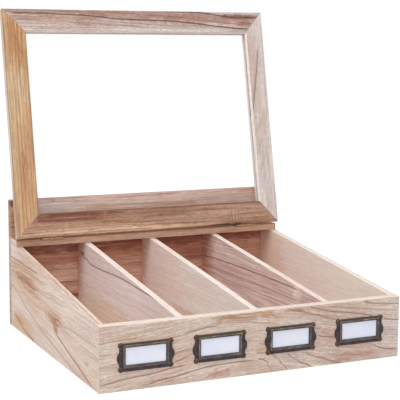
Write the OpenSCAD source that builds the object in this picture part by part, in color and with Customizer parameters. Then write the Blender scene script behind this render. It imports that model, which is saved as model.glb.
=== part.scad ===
// Tea bag organizer box: a low-fronted wooden box with four compartments,
// a glazed lid on two stop hinges, and four metal label holders.
//
// Frame: +X to the right seen from the front, +Y to the back, +Z up.
// Origin: centre of the box's underside. The lid is drawn standing open.

/* [Box] */
// Width of the box, side to side
box_w = 330; // [260:5:420]
// Depth of the box, front to back
box_d = 290; // [240:5:360]
// Height of the front panel at its outer face
front_h = 63; // [52:1:75]
// Height of the backboard
back_h = 144; // [125:1:180]
// Height of the sides where they carry the hinge rail
rail_z = 94; // [85:1:105]
// Thickness of the front, the sides and the backboard
wall_t = 7.5; // [6:0.5:10]
// Thickness of the bottom panel
base_t = 5; // [3:0.5:8]
// Thickness of each divider
divider_t = 7; // [4:0.5:9]

/* [Hinge rail] */
// Depth of the rail in front of the backboard
rail_d = 23.5; // [18:0.5:35]
// Thickness of the rail
rail_t = 7.5; // [6:0.5:8]

/* [Lid] */
// Thickness of the lid frame
lid_t = 10; // [9.5:0.5:14]
// Width of the lid frame's front, back and left members
lid_frame_w = 26.5; // [20:0.5:40]
// Width of the lid frame's right member
lid_right_w = 23.5; // [20:0.5:40]
// Chamfer on the inner edge of the frame's underside
lid_chamfer = 1.5; // [0.5:0.1:2.5]
// Angle of the open lid above horizontal
lid_open_angle = 78.3; // [70:0.1:85]
// Distance from the hinge axis to the lid's back edge
lid_setback = 1.45; // [1.4:0.05:1.8]
// Gap between the closed lid and the edges it lies on
lid_rest_gap = 0.3; // [0.2:0.05:0.6]
// Thickness of the glass
glass_t = 2; // [1.5:0.1:3]
// Depth of the groove that holds the glass
groove_d = 5; // [3:0.5:8]
// Play of the glass in its groove, each side
glass_play = 0.1; // [0.05:0.05:0.2]

/* [Hinges] */
// Length of each hinge
hinge_l = 25; // [20:1:35]
// Distance from the end of the rail to a hinge's centre
hinge_inset = 42; // [30:1:70]
// Radius of the hinge knuckles
knuckle_r = 1.9; // [1.6:0.1:2.2]
// Radius of the hinge pin
hinge_pin_r = 0.85; // [0.7:0.05:1]
// Running clearance of the pin in its knuckles
hinge_fit = 0.05; // [0.02:0.01:0.1]
// Thickness of the hinge leaves
leaf_t = 0.8; // [0.6:0.1:1]
// Width of the leaf that lies on the rail
leaf_w = 14; // [12:0.5:16]
// Height of the stop tab up the back of the open lid
stop_h = 8; // [6:0.5:12]
// Width of the stop tab
stop_w = 8; // [5:0.5:9]

/* [Screws] */
// Radius of a hinge screw's head
screw_head_r = 1.5; // [1.2:0.1:1.8]
// Radius of a hinge screw's shank
screw_r = 0.75; // [0.6:0.05:0.9]
// Length of a hinge screw
screw_l = 6; // [4:0.5:7]

/* [Label holders] */
// Spacing of the label holders as a share of the compartments' spacing
label_spacing = 0.974; // [0.96:0.002:1]
// Sideways place of the row of label holders
label_shift = -1.5; // [-4:0.5:4]
// Height of the label holders' centres
label_z = 32; // [28:0.5:36]
// Sideways distance between a holder's pins
pin_span_x = 50.5; // [47:0.5:54]
// Upright distance between a holder's pins
pin_span_z = 22.8; // [20:0.2:26]
// Radius of the round ear at each pin
ear_r = 2.6; // [2.2:0.1:3.2]
// Width of the bulge beyond the waist on each side
bulge_out = 2.1; // [1:0.1:3]
// Width of the opening that shows the card
window_w = 41.3; // [34:0.1:44]
// Height of the opening that shows the card
window_h = 15.5; // [12:0.1:18]
// Width of the raised rim round the opening
rim_w = 2.4; // [1.5:0.1:2.8]
// Height of the rim above the wood
rim_h = 2.2; // [1.8:0.1:3]
// Thickness of the flange above the wood
flange_t = 1.2; // [1:0.1:1.6]
// Height of the ears above the wood
ear_h = 1.6; // [1.4:0.1:2]
// Thickness of a label card
card_t = 0.4; // [0.2:0.05:0.5]
// Margin of a card behind each edge of its opening
card_margin = 1.8; // [1:0.1:2.2]
// Radius of a label pin's head
pin_head_r = 1.4; // [1.2:0.1:1.8]
// Radius of a label pin's shank
pin_r = 0.5; // [0.4:0.05:0.6]
// Length of a label pin in the wood
pin_l = 5; // [3:0.5:5.5]

/* [Hidden] */
$fn = 64;

// Planes of the box
front_y = -box_d / 2;
back_y = box_d / 2;
inner_front_y = front_y + wall_t;
inner_back_y = back_y - wall_t;
inner_w = box_w - 2 * wall_t;
rail_y = inner_back_y - rail_d;
rail_top = rail_z + rail_t;
slope = atan2(rail_z - front_h, rail_y - front_y);

// Compartments
compartments = 4;
compartment_w = (inner_w - (compartments - 1) * divider_t) / compartments;

// Hinge axis, and the lid's planes measured from it
axis_z = rail_top + leaf_t / 2;
lid_under = (axis_z - rail_z) * cos(slope) - lid_rest_gap;
lid_over = lid_t - lid_under;
lid_end = (rail_y - front_y - lid_over * sin(slope)) / cos(slope);
glass_mid = lid_under - lid_t / 2;
hinge_x = box_w / 2 - hinge_inset;

// Hinge details
knuckle_gap = 0.15;
mid_knuckle_l = 0.4 * hinge_l;
side_knuckle_l = (hinge_l - mid_knuckle_l) / 2 - knuckle_gap;
mortise_clear = 0.3;
pin_head_t = 0.5;
pin_end_r = knuckle_r - 0.3;
lid_leaf_edge = 1;
lid_leaf_len = lid_under - lid_leaf_edge;
stop_t = 1;
stop_clear = 0.1;
stop_sink = 0.03;
stop_root = (leaf_t / 2 - stop_sink + (lid_over + stop_clear) * cos(lid_open_angle)) / sin(lid_open_angle);
screw_clear = 0.05;
screw_side = hinge_l / 2 - 3.5;
rail_screw_y = leaf_w - 3;
lid_screw_z = knuckle_r + (lid_leaf_len - knuckle_r) / 2;

// Label holder details, and how far each hand-placed holder is off its even spacing
label_pitch = label_spacing * (compartment_w + divider_t);
label_nudge = [0.75, -0.4, -1, 0.4];
waist_out = 1.7;
bulge_half = 6.5;
bulge_r = (bulge_half * bulge_half + bulge_out * bulge_out) / (2 * bulge_out);
card_w = window_w + 2 * card_margin;
card_h = window_h + 2 * card_margin;
card_play = 0.3;
pin_clear = 0.05;
dome_h = 0.7;
dome_r = (pin_head_r * pin_head_r + dome_h * dome_h) / (2 * dome_h);
eps = 0.01;

// Height of the sloping top edge at depth y
function slope_z(y) = front_h + (y - front_y) * tan(slope);

// Centre of divider n, counted from 1 at the left
function divider_x(n) = -inner_w / 2 + n * compartment_w + (n - 0.5) * divider_t;

// Centre of label holder n, counted from 1 at the left
function label_x(n) = label_shift + (n - (compartments + 1) / 2) * label_pitch + label_nudge[n - 1];

// Extrudes an outline drawn in depth and height sideways, centred on x
module across(x, width) {
    translate([x - width / 2, 0, 0])
        rotate([90, 0, 90])
            linear_extrude(width)
                children();
}

// Turns lid coordinates (x, distance from the axis, depth below it) to the open lid
module in_lid() {
    translate([0, rail_y, axis_z])
        rotate([lid_open_angle, 0, 0])
            children();
}

// A cylinder along X, centred
module rod(r, length) {
    rotate([0, 90, 0])
        cylinder(r = r, h = length, center = true);
}

// ---- Box ----

module base_panel() {
    color("burlywood")
        translate([-inner_w / 2, inner_front_y, 0])
            cube([inner_w, inner_back_y - inner_front_y, base_t]);
}

module front_panel() {
    color("tan")
        difference() {
            across(0, box_w)
                polygon([
                    [front_y, 0], [inner_front_y, 0],
                    [inner_front_y, slope_z(inner_front_y)], [front_y, front_h]
                ]);
            at_label_pins()
                translate([0, 0, -pin_l - pin_clear])
                    cylinder(r = pin_r + pin_clear, h = pin_l + pin_clear + eps);
        }
}

// Outline of a side from its front end to the backboard
module side_outline() {
    polygon([
        [inner_front_y, 0], [inner_back_y, 0], [inner_back_y, rail_z],
        [rail_y, rail_z], [inner_front_y, slope_z(inner_front_y)]
    ]);
}

module side(x) {
    color("wheat")
        across(x, wall_t)
            side_outline();
}

module left_side() {
    side(-(box_w - wall_t) / 2);
}

module right_side() {
    side((box_w - wall_t) / 2);
}

module backboard() {
    color("tan")
        translate([-box_w / 2, inner_back_y, 0])
            cube([box_w, wall_t, back_h]);
}

module hinge_rail() {
    color("peru")
        difference() {
            translate([-box_w / 2, rail_y, rail_z])
                cube([box_w, rail_d, rail_t]);
            for (s = [-1, 1])
                translate([s * hinge_x, rail_y, axis_z]) {
                    rod(knuckle_r + mortise_clear, hinge_l + 2 * (pin_head_t + mortise_clear));
                    at_rail_screws()
                        translate([0, 0, -screw_l])
                            cylinder(r = screw_r + screw_clear, h = screw_l);
                }
        }
}

module divider(n) {
    color("wheat")
        across(divider_x(n), divider_t)
            difference() {
                side_outline();
                translate([inner_front_y - eps, -eps])
                    square([inner_back_y - inner_front_y + 2 * eps, base_t + eps]);
            }
}

// ---- Lid ----

// Section of a lid member: distance in from its outer edge, and depth below the axis
module lid_section(width) {
    polygon([
        [0, -lid_over], [width, -lid_over],
        [width, glass_mid - glass_t / 2 - glass_play],
        [width - groove_d, glass_mid - glass_t / 2 - glass_play],
        [width - groove_d, glass_mid + glass_t / 2 + glass_play],
        [width, glass_mid + glass_t / 2 + glass_play],
        [width, lid_under - lid_chamfer], [width - lid_chamfer, lid_under], [0, lid_under]
    ]);
}

// A straight member along X with its outer edge on y = 0, mitred to its neighbours' widths at both ends
module mitred_member(length, width, near_w, far_w) {
    intersection() {
        translate([-length / 2, 0, 0])
            rotate([90, 0, 90])
                linear_extrude(length)
                    lid_section(width);
        translate([0, 0, -lid_over - 1])
            linear_extrude(lid_t + 2)
                polygon([
                    [-length / 2, 0], [length / 2, 0],
                    [length / 2 - far_w, width], [-length / 2 + near_w, width]
                ]);
    }
}

module lid_back_rail() {
    color("rosybrown")
        in_lid()
            difference() {
                translate([0, lid_setback, 0])
                    mitred_member(box_w, lid_frame_w, lid_frame_w, lid_right_w);
                for (s = [-1, 1])
                    translate([s * hinge_x, 0, 0]) {
                        rod(knuckle_r + mortise_clear, hinge_l + 2 * (pin_head_t + mortise_clear));
                        translate([-hinge_l / 2 - screw_clear, lid_setback - 1, 0])
                            cube([hinge_l + 2 * screw_clear, leaf_t + 1, lid_leaf_len + screw_clear]);
                        at_lid_screws()
                            translate([0, 0, -screw_l - screw_clear])
                                cylinder(r = screw_r + screw_clear, h = screw_l + 1);
                    }
            }
}

module lid_front_rail() {
    color("rosybrown")
        in_lid()
            translate([0, lid_end, 0])
                mirror([0, 1, 0])
                    mitred_member(box_w, lid_frame_w, lid_frame_w, lid_right_w);
}

module lid_left_stile() {
    color("peru")
        in_lid()
            translate([-box_w / 2, (lid_setback + lid_end) / 2, 0])
                rotate([0, 0, -90])
                    mitred_member(lid_end - lid_setback, lid_frame_w, lid_frame_w, lid_frame_w);
}

module lid_right_stile() {
    color("wheat")
        in_lid()
            translate([box_w / 2, (lid_setback + lid_end) / 2, 0])
                rotate([0, 0, 90])
                    mitred_member(lid_end - lid_setback, lid_right_w, lid_frame_w, lid_frame_w);
}

module lid_glass() {
    edge = lid_frame_w - groove_d + 2 * glass_play;
    right_edge = lid_right_w - groove_d + 2 * glass_play;
    color("lightcyan", 0.4)
        in_lid()
            translate([-box_w / 2 + edge, lid_setback + edge, glass_mid - glass_t / 2])
                cube([box_w - edge - right_edge, lid_end - lid_setback - 2 * edge, glass_t]);
}

// ---- Hinges, drawn about their axis at x = 0 ----

// Places of the screws through the leaf on the rail, heads up at the leaf's top
module at_rail_screws() {
    for (s = [-1, 1])
        translate([s * screw_side, rail_screw_y, leaf_t / 2])
            children();
}

// Places of the screws through the leaf on the lid's back edge, in lid coordinates
module at_lid_screws() {
    for (s = [-1, 1])
        translate([s * screw_side, lid_setback, lid_screw_z])
            rotate([90, 0, 0])
                children();
}

// Countersunk hole or head, with its top at z = 0
module countersink(r, shank_r) {
    translate([0, 0, -leaf_t])
        cylinder(r1 = shank_r, r2 = r, h = leaf_t);
}

module screw() {
    color("darkgoldenrod")
        union() {
            countersink(screw_head_r - screw_clear, screw_r);
            translate([0, 0, -screw_l])
                cylinder(r = screw_r, h = screw_l - leaf_t / 2);
        }
}

module rail_leaf() {
    relief = knuckle_r + mortise_clear;
    color("darkgoldenrod")
        difference() {
            union() {
                translate([-hinge_l / 2, relief, -leaf_t / 2])
                    cube([hinge_l, leaf_w - relief, leaf_t]);
                for (s = [-1, 1])
                    translate([s * (hinge_l - side_knuckle_l) / 2, 0, 0]) {
                        rod(knuckle_r, side_knuckle_l);
                        translate([-side_knuckle_l / 2, 0, -leaf_t / 2])
                            cube([side_knuckle_l, relief + eps, leaf_t]);
                    }
                rotate([lid_open_angle, 0, 0])
                    translate([-stop_w / 2, stop_root, -lid_over - stop_clear - stop_t])
                        cube([stop_w, stop_h, stop_t]);
            }
            rod(hinge_pin_r + hinge_fit, hinge_l + 1);
            at_rail_screws() {
                translate([0, 0, -leaf_t - 1])
                    cylinder(r = screw_r + screw_clear, h = leaf_t + 1);
                countersink(screw_head_r, screw_r + screw_clear);
            }
        }
}

module lid_leaf() {
    relief = knuckle_r + mortise_clear;
    color("darkgoldenrod")
        difference() {
            union() {
                translate([-hinge_l / 2, lid_setback, relief])
                    cube([hinge_l, leaf_t, lid_leaf_len - relief]);
                rod(knuckle_r, mid_knuckle_l);
                translate([-mid_knuckle_l / 2, lid_setback, 0])
                    cube([mid_knuckle_l, leaf_t, relief + eps]);
            }
            rod(hinge_pin_r + hinge_fit, hinge_l + 1);
            at_lid_screws() {
                translate([0, 0, -leaf_t - 1])
                    cylinder(r = screw_r + screw_clear, h = leaf_t + 1);
                countersink(screw_head_r, screw_r + screw_clear);
            }
        }
}

module hinge_pin() {
    color("gold") {
        union() {
            rod(hinge_pin_r, hinge_l + 2 * pin_head_t);
            for (s = [-1, 1])
                translate([s * (hinge_l + pin_head_t + knuckle_gap) / 2, 0, 0])
                    rod(pin_end_r, pin_head_t - knuckle_gap);
        }
    }
}

module at_rail_hinge(s) {
    translate([s * hinge_x, rail_y, axis_z])
        children();
}

module at_lid_hinge(s) {
    in_lid()
        translate([s * hinge_x, 0, 0])
            children();
}

module left_hinge_rail_leaf() {
    at_rail_hinge(-1) rail_leaf();
}

module right_hinge_rail_leaf() {
    at_rail_hinge(1) rail_leaf();
}

module left_hinge_lid_leaf() {
    at_lid_hinge(-1) lid_leaf();
}

module right_hinge_lid_leaf() {
    at_lid_hinge(1) lid_leaf();
}

module left_hinge_pin() {
    at_rail_hinge(-1) hinge_pin();
}

module right_hinge_pin() {
    at_rail_hinge(1) hinge_pin();
}

module rail_leaf_screws() {
    for (s = [-1, 1])
        at_rail_hinge(s)
            at_rail_screws()
                screw();
}

module lid_leaf_screws() {
    for (s = [-1, 1])
        at_lid_hinge(s)
            at_lid_screws()
                screw();
}

// ---- Label holders, drawn flat with z up out of the wood ----

// Stands a flat label piece on the front of the box at holder n
module at_label(n) {
    translate([label_x(n), front_y, label_z])
        rotate([90, 0, 0])
            children();
}

module at_label_pins() {
    for (n = [1 : compartments], sx = [-1, 1], sz = [-1, 1])
        at_label(n)
            translate([sx * pin_span_x / 2, sz * pin_span_z / 2, 0])
                children();
}

// Outline of a holder: round ears at the pins, a waist, and a bulge on each side
module holder_outline() {
    square([pin_span_x, pin_span_z + 2 * ear_r], center = true);
    square([pin_span_x + 2 * waist_out, pin_span_z], center = true);
    for (sx = [-1, 1], sz = [-1, 1])
        translate([sx * pin_span_x / 2, sz * pin_span_z / 2])
            circle(r = ear_r);
    for (s = [-1, 1])
        intersection() {
            translate([s * (pin_span_x / 2 + waist_out + bulge_out - bulge_r), 0])
                circle(r = bulge_r);
            translate([s * pin_span_x / 2, 0])
                square([4 * bulge_out + 2 * waist_out, 2 * bulge_half], center = true);
        }
}

module label_holder(n) {
    slot_w = card_w + 2 * card_play;
    slot_low = card_h / 2 + card_play;
    color("dimgray")
        at_label(n)
            difference() {
                union() {
                    linear_extrude(flange_t)
                        holder_outline();
                    linear_extrude(rim_h)
                        square([window_w + 2 * rim_w, window_h + 2 * rim_w], center = true);
                    for (sx = [-1, 1], sz = [-1, 1])
                        translate([sx * pin_span_x / 2, sz * pin_span_z / 2, 0])
                            cylinder(r = ear_r, h = ear_h);
                }
                translate([0, 0, rim_h / 2])
                    cube([window_w, window_h, rim_h + 1], center = true);
                translate([-slot_w / 2, -slot_low, -1])
                    cube([slot_w, slot_low + pin_span_z, 1 + card_t + pin_clear]);
                for (sx = [-1, 1], sz = [-1, 1])
                    translate([sx * pin_span_x / 2, sz * pin_span_z / 2, -1])
                        cylinder(r = pin_r + pin_clear, h = ear_h + 2);
            }
}

module label_card(n) {
    color("aliceblue")
        at_label(n)
            translate([-card_w / 2, -card_h / 2, 0])
                cube([card_w, card_h, card_t]);
}

module label_holder_1() {
    label_holder(1);
}

module label_holder_2() {
    label_holder(2);
}

module label_holder_3() {
    label_holder(3);
}

module label_holder_4() {
    label_holder(4);
}

module label_card_1() {
    label_card(1);
}

module label_card_2() {
    label_card(2);
}

module label_card_3() {
    label_card(3);
}

module label_card_4() {
    label_card(4);
}

module label_pins() {
    color("darkgoldenrod")
        at_label_pins()
            union() {
                translate([0, 0, -pin_l])
                    cylinder(r = pin_r, h = pin_l + ear_h + dome_h / 2);
                intersection() {
                    translate([0, 0, ear_h + dome_h - dome_r])
                        sphere(r = dome_r);
                    translate([0, 0, ear_h])
                        cylinder(r = pin_head_r + 1, h = dome_h + 1);
                }
            }
}

// ---- Named nodes ----

module left_divider() {
    divider(1);
}

module middle_divider() {
    divider(2);
}

module right_divider() {
    divider(3);
}

base_panel();
front_panel();
left_side();
right_side();
backboard();
hinge_rail();
left_divider();
middle_divider();
right_divider();
lid_back_rail();
lid_front_rail();
lid_left_stile();
lid_right_stile();
lid_glass();
left_hinge_rail_leaf();
right_hinge_rail_leaf();
left_hinge_lid_leaf();
right_hinge_lid_leaf();
left_hinge_pin();
right_hinge_pin();
rail_leaf_screws();
lid_leaf_screws();
label_holder_1();
label_holder_2();
label_holder_3();
label_holder_4();
label_card_1();
label_card_2();
label_card_3();
label_card_4();
label_pins();
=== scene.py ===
"""Looks of a tea bag organizer box: pale timber, a glazed lid, bronze hinges and bronze label holders.

Lengths are millimetres in the dataclasses, apart from the studio's, and metres in the meshes. The figure in
the timber is given in the box's own measure: from its left end, from its front and from its underside. On the
lid it is given from its left end and up from its hinged edge.
"""
import logging
import math
from dataclasses import dataclass
from enum import Enum, IntEnum
from typing import Any, Union

import bmesh
import bpy
from mathutils import Matrix, Vector


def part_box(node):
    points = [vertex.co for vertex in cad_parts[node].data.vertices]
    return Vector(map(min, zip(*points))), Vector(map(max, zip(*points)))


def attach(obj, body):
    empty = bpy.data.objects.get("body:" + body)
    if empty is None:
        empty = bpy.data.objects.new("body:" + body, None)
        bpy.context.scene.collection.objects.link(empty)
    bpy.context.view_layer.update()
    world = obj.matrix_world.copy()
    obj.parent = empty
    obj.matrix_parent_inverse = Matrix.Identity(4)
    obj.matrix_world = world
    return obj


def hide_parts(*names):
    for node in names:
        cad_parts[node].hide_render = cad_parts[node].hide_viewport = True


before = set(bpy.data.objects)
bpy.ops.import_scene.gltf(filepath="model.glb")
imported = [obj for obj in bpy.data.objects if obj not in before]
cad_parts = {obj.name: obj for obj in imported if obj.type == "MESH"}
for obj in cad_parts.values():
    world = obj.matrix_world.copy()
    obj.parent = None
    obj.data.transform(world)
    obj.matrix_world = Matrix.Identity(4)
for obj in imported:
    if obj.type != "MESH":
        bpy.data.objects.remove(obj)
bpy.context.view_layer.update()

LOG = logging.getLogger("tea_box")
MM = 0.001
WELD = 0.01
Triple = tuple[float, float, float]
Points = tuple[tuple[float, float], ...]
Socket = Union[int, str]


def paint(red: float, green: float, blue: float) -> tuple[float, float, float, float]:
    """Turns a screen colour into the linear colour a shader takes.

    Args:
        red: red from 0 to 255.
        green: green from 0 to 255.
        blue: blue from 0 to 255.

    Returns:
        The linear colour with an alpha of 1.
    """
    shares = [part / 255 for part in (red, green, blue)]
    linear = [s / 12.92 if s <= 0.04045 else ((s + 0.055) / 1.055) ** 2.4 for s in shares]
    return (linear[0], linear[1], linear[2], 1.0)


class Body(Enum):
    """The two bodies that the lid's hinge joins."""

    BOX = "box"
    LID = "lid"


class Value:
    """What one node gives, which takes part in arithmetic, each step adding a node."""

    def __init__(self, shader: "Shader", made: bpy.types.Node, output: Socket = 0) -> None:
        """Keeps the node and the shader it belongs to.

        Args:
            shader: the shader.
            made: the node.
            output: the output socket that holds the value, by name or number.
        """
        self.shader = shader
        self.made = made
        self.output = output

    @property
    def socket(self) -> bpy.types.NodeSocket:
        """The output socket that holds the value."""
        return self.made.outputs[self.output]

    def join(self, operation: str, *others: Any) -> "Value":
        """Adds a Math node, or a Vector Math node where this value is a vector.

        Args:
            operation: the node's operation.
            *others: the node's further inputs.

        Returns:
            The node's result.
        """
        return self.shader.reckon(operation, self, *others)

    def __add__(self, other: Any) -> "Value":
        """Sum."""
        return self.join("ADD", other)

    def __radd__(self, other: Any) -> "Value":
        """Sum with a plain number on the left."""
        return self.join("ADD", other)

    def __sub__(self, other: Any) -> "Value":
        """Difference."""
        return self.join("SUBTRACT", other)

    def __rsub__(self, other: Any) -> "Value":
        """Difference with a plain number on the left."""
        return self.shader.reckon("SUBTRACT", other, self)

    def __mul__(self, other: Any) -> "Value":
        """Product."""
        return self.join("MULTIPLY", other)

    def __rmul__(self, other: Any) -> "Value":
        """Product with a plain number on the left."""
        return self.join("MULTIPLY", other)

    def __truediv__(self, other: Any) -> "Value":
        """Quotient."""
        return self.join("DIVIDE", other)

    def __pow__(self, power: float) -> "Value":
        """Power."""
        return self.join("POWER", power)

    def __abs__(self) -> "Value":
        """Size without sign."""
        return self.join("ABSOLUTE")

    def ramp(self, low: float, high: float, start: float = 0.0, end: float = 1.0) -> "Value":
        """Eases smoothly from start to end as this value goes from low to high.

        Args:
            low: where the rise begins.
            high: where the rise ends.
            start: the result up to low.
            end: the result from high on.

        Returns:
            The eased value.
        """
        return self.shader.node(
            "ShaderNodeMapRange",
            {"interpolation_type": "SMOOTHSTEP"},
            {0: self, 1: low, 2: high, 3: start, 4: end},
        )

    def spread(self, low: float, high: float, start: float, end: float) -> "Value":
        """Goes straight from start to end as this value goes from low to high, and is held beyond them.

        Args:
            low: where the change begins.
            high: where the change ends.
            start: the result up to low.
            end: the result from high on.

        Returns:
            The mapped value.
        """
        return self.shader.node("ShaderNodeMapRange", {}, {0: self, 1: low, 2: high, 3: start, 4: end})


@dataclass(frozen=True)
class Noise:
    """Smooth noise: its features' size along each axis, its finer layers, their strength, and its shift."""

    size: Triple
    detail: float = 2.0
    roughness: float = 0.5
    shift: float = 0.0


class Shader:
    """The nodes of a material or of the world under construction."""

    def __init__(self, name: str, world: bool = False) -> None:
        """Starts an empty material or world.

        Args:
            name: its name.
            world: true for a world.
        """
        self.owner = (bpy.data.worlds if world else bpy.data.materials).new(name)
        self.owner.use_nodes = True
        self.last = "ShaderNodeOutputWorld" if world else "ShaderNodeOutputMaterial"
        self.tree = self.owner.node_tree
        self.tree.nodes.clear()

    def node(
        self, kind: str, settings: dict[str, Any], inputs: dict[Socket, Any], output: Socket = 0
    ) -> Value:
        """Adds one node.

        Args:
            kind: the node's type name.
            settings: its properties, set first. "curve" holds the points of a float curve.
            inputs: constants or values by socket name or number.
            output: the socket to return, by name or number.

        Returns:
            What the node gives at the chosen output.
        """
        made = self.tree.nodes.new(kind)
        for name, setting in settings.items():
            if name == "curve":
                track = made.mapping.curves[0]
                made.mapping.use_clip = False
                while len(track.points) < len(setting):
                    track.points.new(0.5, 0.5)
                for point, (x, y) in zip(track.points, setting):
                    point.location = (x, y)
                made.mapping.update()
            else:
                setattr(made, name, setting)
        for name, given in inputs.items():
            if isinstance(given, Value):
                self.tree.links.new(given.socket, made.inputs[name])
            else:
                made.inputs[name].default_value = given
        return Value(self, made, output)

    def reckon(self, operation: str, *terms: Any) -> Value:
        """Adds a Math or Vector Math node on values and plain numbers.

        Args:
            operation: the node's operation.
            *terms: its inputs in order.

        Returns:
            The node's result.
        """
        vector = any(isinstance(t, Value) and t.socket.type == "VECTOR" for t in terms)
        if not vector:
            return self.node("ShaderNodeMath", {"operation": operation}, dict(enumerate(terms)))
        given = {n: (t, t, t) if isinstance(t, (int, float)) else t for n, t in enumerate(terms)}
        output = "Value" if operation == "DOT_PRODUCT" else "Vector"
        return self.node("ShaderNodeVectorMath", {"operation": operation}, given, output)

    def place(self) -> Value:
        """The point's place in the piece's own coordinates, in metres."""
        return self.node("ShaderNodeTexCoord", {}, {}, "Object")

    def along(self, place: Value, axis: Triple, origin: Triple) -> Value:
        """How far a place lies along an axis, in millimetres.

        Args:
            place: the place in metres.
            axis: the axis as a unit vector.
            origin: the axis's zero point in metres.

        Returns:
            The distance.
        """
        start = sum(a * o for a, o in zip(axis, origin))
        return place.join("DOT_PRODUCT", tuple(a / MM for a in axis)) - start / MM

    def noise(self, place: Value, kind: Noise, seed: float = 0.0) -> Value:
        """Smooth noise from 0 to 1.

        Args:
            place: where to read it, in millimetres.
            kind: the noise.
            seed: an offset that makes it another noise of the same kind.

        Returns:
            The noise.
        """
        shift = seed + kind.shift
        spot = place * tuple(1 / s for s in kind.size) + (shift, shift * 1.7, shift * 0.6)
        inputs = {"Vector": spot, "Scale": 1.0, "Detail": kind.detail, "Roughness": kind.roughness}
        return self.node("ShaderNodeTexNoise", {}, inputs)

    def triple(self, x: Any, y: Any, z: Any) -> Value:
        """Joins three numbers to a vector."""
        return self.node("ShaderNodeCombineXYZ", {}, {0: x, 1: y, 2: z})

    def blend(self, first: Any, second: Any, share: Any, how: str = "MIX") -> Value:
        """Blends two colours.

        Args:
            first: the colour at a share of 0.
            second: the colour at a share of 1.
            share: how much of the second colour.
            how: the Mix node's blend type.

        Returns:
            The blended colour.
        """
        settings = {"data_type": "RGBA", "blend_type": how, "clamp_factor": True}
        return self.node("ShaderNodeMix", settings, {0: share, 6: first, 7: second}, 2)

    def bump(self, height: Value, depth: float, strength: float = 1.0) -> Value:
        """Tilts the surface by a height.

        Args:
            height: the height from 0 to 1.
            depth: what a height of 1 stands for, in millimetres.
            strength: how much of the tilt shows.

        Returns:
            The normal.
        """
        inputs = {"Strength": strength, "Distance": depth * MM, "Height": height}
        return self.node("ShaderNodeBump", {}, inputs)

    def seen(self) -> Value:
        """Tells what is looked at, straight on, mirrored or through glass, from what only lights the rest.

        Returns:
            1 for a look and 0 for light.
        """
        rays = ("Is Camera Ray", "Is Glossy Ray", "Is Transmission Ray")
        direct, mirrored, through = (self.node("ShaderNodeLightPath", {}, {}, ray) for ray in rays)
        return direct.join("MAXIMUM", mirrored).join("MAXIMUM", through)

    def end(self, surface: Value) -> Union[bpy.types.Material, bpy.types.World]:
        """Ends the nodes in a surface.

        Args:
            surface: what the surface's or the background's node gives.

        Returns:
            The finished material or world.
        """
        self.node(self.last, {}, {"Surface": surface})
        return self.owner

    def finish(self, inputs: dict[str, Any]) -> bpy.types.Material:
        """Ends the material in a Principled surface.

        Args:
            inputs: the surface's sockets.

        Returns:
            The finished material.
        """
        return self.end(self.node("ShaderNodeBsdfPrincipled", {}, inputs))


# ---- Timber ----


class Run(Enum):
    """Which way a vein is followed."""

    ALONG = "along the grain"
    ACROSS = "across the grain"


@dataclass(frozen=True)
class Axes:
    """A board's own directions: along the grain, across it on the broad face, and through the board.

    The origin, in metres, is where the box's or the lid's own measure starts.
    """

    along: Triple
    across: Triple
    through: Triple
    origin: Triple = (-0.165, -0.145, 0.0)


# The open lid: how far its frame is raised from level, its own directions, and its lower left corner.
LID_TILT = math.radians(78.3)
LID_UP = (0.0, math.cos(LID_TILT), math.sin(LID_TILT))
LID_OUT = (0.0, -math.sin(LID_TILT), math.cos(LID_TILT))
LID_ORIGIN = (-0.165, 0.114, 0.1019)
LENGTHWAYS = Axes((0.0, 1.0, 0.0), (0.0, 0.0, 1.0), (1.0, 0.0, 0.0))
SIDEWAYS = Axes((1.0, 0.0, 0.0), (0.0, 0.0, 1.0), (0.0, 1.0, 0.0))
FLAT = Axes((1.0, 0.0, 0.0), (0.0, 1.0, 0.0), (0.0, 0.0, 1.0))
FLAT_LENGTHWAYS = Axes((0.0, 1.0, 0.0), (1.0, 0.0, 0.0), (0.0, 0.0, 1.0))
LID_SIDEWAYS = Axes((1.0, 0.0, 0.0), LID_UP, LID_OUT, LID_ORIGIN)
LID_UPWARDS = Axes(LID_UP, (1.0, 0.0, 0.0), LID_OUT, LID_ORIGIN)
LID_EDGEWAYS = Axes(LID_UP, LID_OUT, (1.0, 0.0, 0.0), LID_ORIGIN)


@dataclass(frozen=True)
class Vein:
    """A dark growth line through a few points, each along and across the board.

    It fades in and out over the length given as fade. Its halo is the reach of a stain that fades away from
    it, upwards where the reach is positive and downwards where it is negative.
    """

    points: Points
    depth: float = 0.5
    width: float = 0.9
    fade: float = 12.0
    run: Run = Run.ALONG
    halo: float = 0.0
    stain: float = 0.4


@dataclass(frozen=True)
class Patch:
    """A soft patch of colour: its centre, its reach along and across the board, its strength and its colour.
    Most are stains; some are painted shade and painted shadow, as noted where they are listed.
    """

    along: float
    across: float
    reach: float
    spread: float
    depth: float
    shade: Triple


# The noises of the grain, and how strongly each of them moves, frays or tints what it works on.
DRIFT = Noise((110, 22, 22), 1.0, 0.5, 3.1)
WAVER = Noise((14, 5, 5), 2.0, 0.55, 7.7)
RING_WIDTHS = Noise((14, 1, 1), 1.0, 0.5, 1.3)
RING_BREAKS = Noise((60, 9, 9), 1.0, 0.5, 9.2)
STREAKS = Noise((70, 2.2, 2.2), 2.0, 0.6, 2.4)
CLOUDS = Noise((120, 22, 22), 2.0, 0.5, 4.9)
HAIRS = Noise((26, 1.0, 1.0), 1.0, 0.5, 6.6)
RING_WAVER = 1.2
RING_UNEVENNESS = 1.7
VEIN_CORE = 0.2
VEIN_WAVER = (4.0, 1.6)
HALO_START = -0.12
PATCH_WAVER = 2.2
PATCH_ROUGHNESS = 1.2
MARK_ROUGHNESS = 1.5
DASH_TONE = 0.6
PORE_TONE = 0.16
PORE_SHARE = (0.8, 0.75)
FLATTEST = 0.001


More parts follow.
